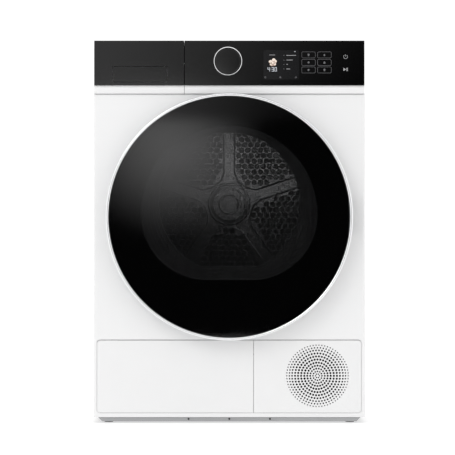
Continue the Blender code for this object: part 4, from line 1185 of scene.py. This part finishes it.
def make_drum_shell():
    low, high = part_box("drum_shell")
    wall = 0.0015
    neck = 0.262
    shoulder = -0.195
    outer = [(neck + 0.0006, low.y + 0.0006), (neck, low.y + 0.0014), (neck, shoulder - 0.002),
             (neck + 0.003, shoulder - 0.0002), (DRUM_RADIUS - 0.004, shoulder + 0.001),
             (DRUM_RADIUS - 0.0008, shoulder + 0.003), (DRUM_RADIUS, shoulder + 0.006)]
    beads = []
    for y in (-0.120, 0.060, 0.180):
        beads += [(DRUM_RADIUS, y - 0.006), (DRUM_RADIUS - 0.0012, y - 0.002),
                  (DRUM_RADIUS - 0.0012, y + 0.002), (DRUM_RADIUS, y + 0.006)]
    outer += beads + [(DRUM_RADIUS, high.y)]
    inner = [(radius - wall, y) for radius, y in reversed(outer)]
    add("drum_barrel", turned(outer + inner, DRUM, count=144, closed=True), DRUM_STEEL, "drum",
        ("drum_shell",))
    seat = DRUM_RADIUS - wall
    columns = 56
    rows = 12
    template = [(0.0052, 0.0004), (0.0042, -0.0010), (0.0022, -0.0019), (0.0005, -0.0021)]
    bm = bmesh.new()
    for column in range(columns):
        for row in range(rows):
            turn = math.tau * (column + (0.5 if row % 2 else 0.0)) / columns
            nearest = min(abs((turn - math.pi / 2 - k * math.tau / 3 + math.pi) % math.tau - math.pi)
                          for k in range(3))
            if nearest < math.radians(11):
                continue
            y = -0.170 + row * 0.036
            outward = Vector((math.cos(turn), 0, math.sin(turn)))
            across = Vector((-math.sin(turn), 0, math.cos(turn)))
            centre = Vector((DRUM[0], y, DRUM[1])) + outward * seat
            loops = []
            for radius, lift in template:
                loops.append([centre + outward * lift + across * (radius * math.cos(a))
                              + Vector((0, radius * math.sin(a), 0))
                              for a in (math.tau * k / 10 for k in range(10))])
            skin(bm, loops)
    add("drum_embossing", bm, DRUM_STEEL, "drum", angle=60)


def make_lifters():
    for index in range(3):
        node = f"drum_lifter_{index + 1}"
        low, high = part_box(node)
        turn = math.pi / 2 + index * math.tau / 3
        seat = DRUM_RADIUS - 0.0015 - 0.0013
        height = 0.0450
        base = arc(DRUM, seat, turn - math.radians(8.5), turn + math.radians(8.5), 10)
        towards = Vector((math.cos(turn), math.sin(turn)))
        across = Vector((-towards.y, towards.x))
        top = []
        for step in range(13):
            share = step / 12
            sweep = math.cos(math.pi * share)
            level = math.sin(math.pi * share) ** 0.55
            reach = towards * (seat - 0.004 - (height - 0.004) * level)
            point = Vector(DRUM) + reach + across * (0.034 * sweep * (1.0 - 0.62 * level))
            top.append(tuple(point))
        outline = base + top
        ends = [(grown(outline, -0.006), low.y), (grown(outline, -0.0022), low.y + 0.0016),
                (outline, low.y + 0.006), (outline, high.y)]
        add(f"drum_paddle_{index + 1}", layered(ends), GREY, "drum", (node,), angle=40)


# ---- Pieces whose CAD shape is kept ----
def paint(material, *nodes):
    for node in nodes:
        mesh = frame["nodes"][node].data
        mesh.materials.clear()
        mesh.materials.append(material)


def paint_kept_nodes():
    paint(ZINC, "rear_bearing", "motor_bracket", "hinge_bracket", "hinge_pin", "door_hinge_arm",
          "tensioner_arm", "motor_shaft", "idler_pulley")
    paint(DARK, "fan_frame", "cooling_fan", "blower_wheel", "roller_left", "roller_right",
          "condensate_pump", "cord_gland")
    paint(GREY, "door_lock", "blower_housing")
    paint(WHITE, "exchanger_cover", "door_hook")
    paint(MOTOR_PAINT, "motor", "compressor")
    paint(FINS, "evaporator", "condenser")
    paint(COPPER, "refrigerant_pipe")
    paint(RUBBER, "drum_belt", "drain_hose")
    paint(BOARD, "control_board")
    paint(TANK, "water_tank")
    paint(FOOT_RUBBER, "foot_front_left", "foot_front_right", "foot_rear_left", "foot_rear_right")


# ---- Stage ----
CAMERA_DISTANCE = 6.0
VIEW_WIDTH = 1.006
SENSOR = 36.0
PATCH = (-0.36, 0.92)
PATCH_RADIUS = 0.60
PATCH_GLOW = 2.6
BAND_GLOW = 0.85
CARD_GLOW = 0.015


def stage_plane(name, corners, material):
    mesh = bpy.data.meshes.new(name)
    mesh.from_pydata(corners, [], [(0, 1, 2, 3)])
    mesh.materials.append(material)
    obj = bpy.data.objects.new(name, mesh)
    bpy.context.scene.collection.objects.link(obj)
    return obj


def area_light(name, place_at, target, size, power, mirrored=True):
    data = bpy.data.lights.new(name, "AREA")
    data.shape = "RECTANGLE"
    data.size, data.size_y = size
    data.energy = power
    obj = bpy.data.objects.new(name, data)
    obj.location = place_at
    obj.rotation_euler = (Vector(target) - Vector(place_at)).to_track_quat("-Z", "Y").to_euler()
    bpy.context.scene.collection.objects.link(obj)
    obj.visible_glossy = mirrored


BAND_TOP = 1.275
BAND_LEAN = 0.7


def card_material():
    """A dark card whose soft patch and upper band are what the black glass mirrors."""
    material = bpy.data.materials.new("soft_card")
    material.use_nodes = True
    tree = material.node_tree
    tree.nodes.clear()

    def node(kind, **settings):
        made = tree.nodes.new(kind)
        for key, value in settings.items():
            setattr(made, key, value)
        return made

    def ranged(source, start, end, low=0.0, high=1.0, smooth=False):
        made = node("ShaderNodeMapRange", interpolation_type="SMOOTHSTEP" if smooth else "LINEAR")
        for key, value in (("From Min", start), ("From Max", end), ("To Min", low), ("To Max", high)):
            made.inputs[key].default_value = value
        tree.links.new(source, made.inputs["Value"])
        return made.outputs["Result"]

    def combined(operation, first, second):
        made = node("ShaderNodeMath", operation=operation)
        for socket, value in zip(made.inputs, (first, second)):
            if isinstance(value, float):
                socket.default_value = value
            else:
                tree.links.new(value, socket)
        return made.outputs["Value"]

    position = node("ShaderNodeTexCoord").outputs["Object"]
    split = node("ShaderNodeSeparateXYZ")
    tree.links.new(position, split.inputs["Vector"])
    x, z = split.outputs["X"], split.outputs["Z"]
    across = combined("MULTIPLY", combined("ADD", x, -PATCH[0]), 1 / PATCH_RADIUS)
    along = combined("MULTIPLY", combined("ADD", z, -PATCH[1]), 1 / PATCH_RADIUS)
    squared = combined("ADD", combined("POWER", combined("ABSOLUTE", across, 0.0), 2.0),
                       combined("POWER", combined("ABSOLUTE", along, 0.0), 2.0))
    patch = ranged(combined("POWER", squared, 0.5), 1.0, 0.0, smooth=True)
    lean = combined("MULTIPLY", combined("ADD", combined("MULTIPLY", z, -1.0), BAND_TOP), BAND_LEAN)
    band = combined("POWER", ranged(combined("ADD", x, lean), 0.75, -0.55), 1.4)
    upper = ranged(z, 1.00, 1.12, smooth=True)
    lower = combined("SUBTRACT", 1.0, upper)
    glow_sum = combined("ADD", combined("MULTIPLY", combined("MULTIPLY", patch, lower), PATCH_GLOW),
                        combined("MULTIPLY", combined("MULTIPLY", band, upper), BAND_GLOW))
    emission = node("ShaderNodeEmission")
    tree.links.new(combined("ADD", glow_sum, CARD_GLOW), emission.inputs["Strength"])
    output = node("ShaderNodeOutputMaterial")
    tree.links.new(emission.outputs["Emission"], output.inputs["Surface"])
    return material


def make_stage():
    floor_white = surface("pale_floor", (0.50, 0.50, 0.50), 0.8, vary=0.01, patch=2.0, specular=0.1)
    shader = floor_white.node_tree.nodes["Principled BSDF"]
    shader.inputs["Emission Color"].default_value = (1, 1, 1, 1)
    shader.inputs["Emission Strength"].default_value = 0.55
    reach = 14.0
    level = -0.0003
    near = -3.4
    corners = [(-reach, near), (reach, near), (reach, reach), (-reach, reach)]
    stage_plane("floor", [(x, y, level) for x, y in corners], floor_white)
    card_y = -(CAMERA_DISTANCE + 0.8)
    corners = [(-2.0, -1.0), (2.0, -1.0), (2.0, 2.9), (-2.0, 2.9)]
    stage_plane("soft_card", [(x, card_y, z) for x, z in corners], card_material())
    world = bpy.data.worlds.new("studio")
    world.use_nodes = True
    world.node_tree.nodes["Background"].inputs["Color"].default_value = (1, 1, 1, 1)
    world.node_tree.nodes["Background"].inputs["Strength"].default_value = 1.12
    bpy.context.scene.world = world
    area_light("key", (-1.9, -3.2, 2.6), (0, -0.2, 0.45), (1.6, 1.6), 20)
    area_light("drum_lamp", (0.055, -0.185, 0.580), (0.06, 0.250, 0.500), (0.22, 0.14), 0.22)
    area_light("door_lamp", (0.0, -0.315, 0.4700), (0.0, 0.0, 0.4600), (0.34, 0.30), 0.10, mirrored=False)
    bpy.context.scene.view_settings.view_transform = "Standard"


def make_camera():
    data = bpy.data.cameras.new("camera")
    data.sensor_width = SENSOR
    data.lens = SENSOR * CAMERA_DISTANCE / VIEW_WIDTH
    data.clip_end = 60.0
    obj = bpy.data.objects.new("camera", data)
    obj.location = (-0.004, front_of("front_panel") - CAMERA_DISTANCE, 0.432)
    obj.rotation_euler = (math.pi / 2, 0, 0)
    bpy.context.scene.collection.objects.link(obj)
    bpy.context.scene.camera = obj


def main():
    make_front_panel()
    make_side_panels()
    make_top()
    make_rear()
    make_duct_cover()
    make_vent_panel()
    make_service_flap()
    make_base()
    make_carriers()
    make_fascia()
    make_knob()
    make_display()
    make_touch_keys()
    make_door_ring()
    make_door_glass()
    make_door_frame()
    make_door_bowl()
    make_seal()
    make_bulkhead()
    make_filter()
    make_drum_back()
    make_drum_shell()
    make_lifters()
    paint_kept_nodes()
    make_stage()
    make_camera()


for leftover in [o for o in bpy.data.objects if o.name in ("Cube", "Light", "Camera")]:
    bpy.data.objects.remove(leftover)
main()
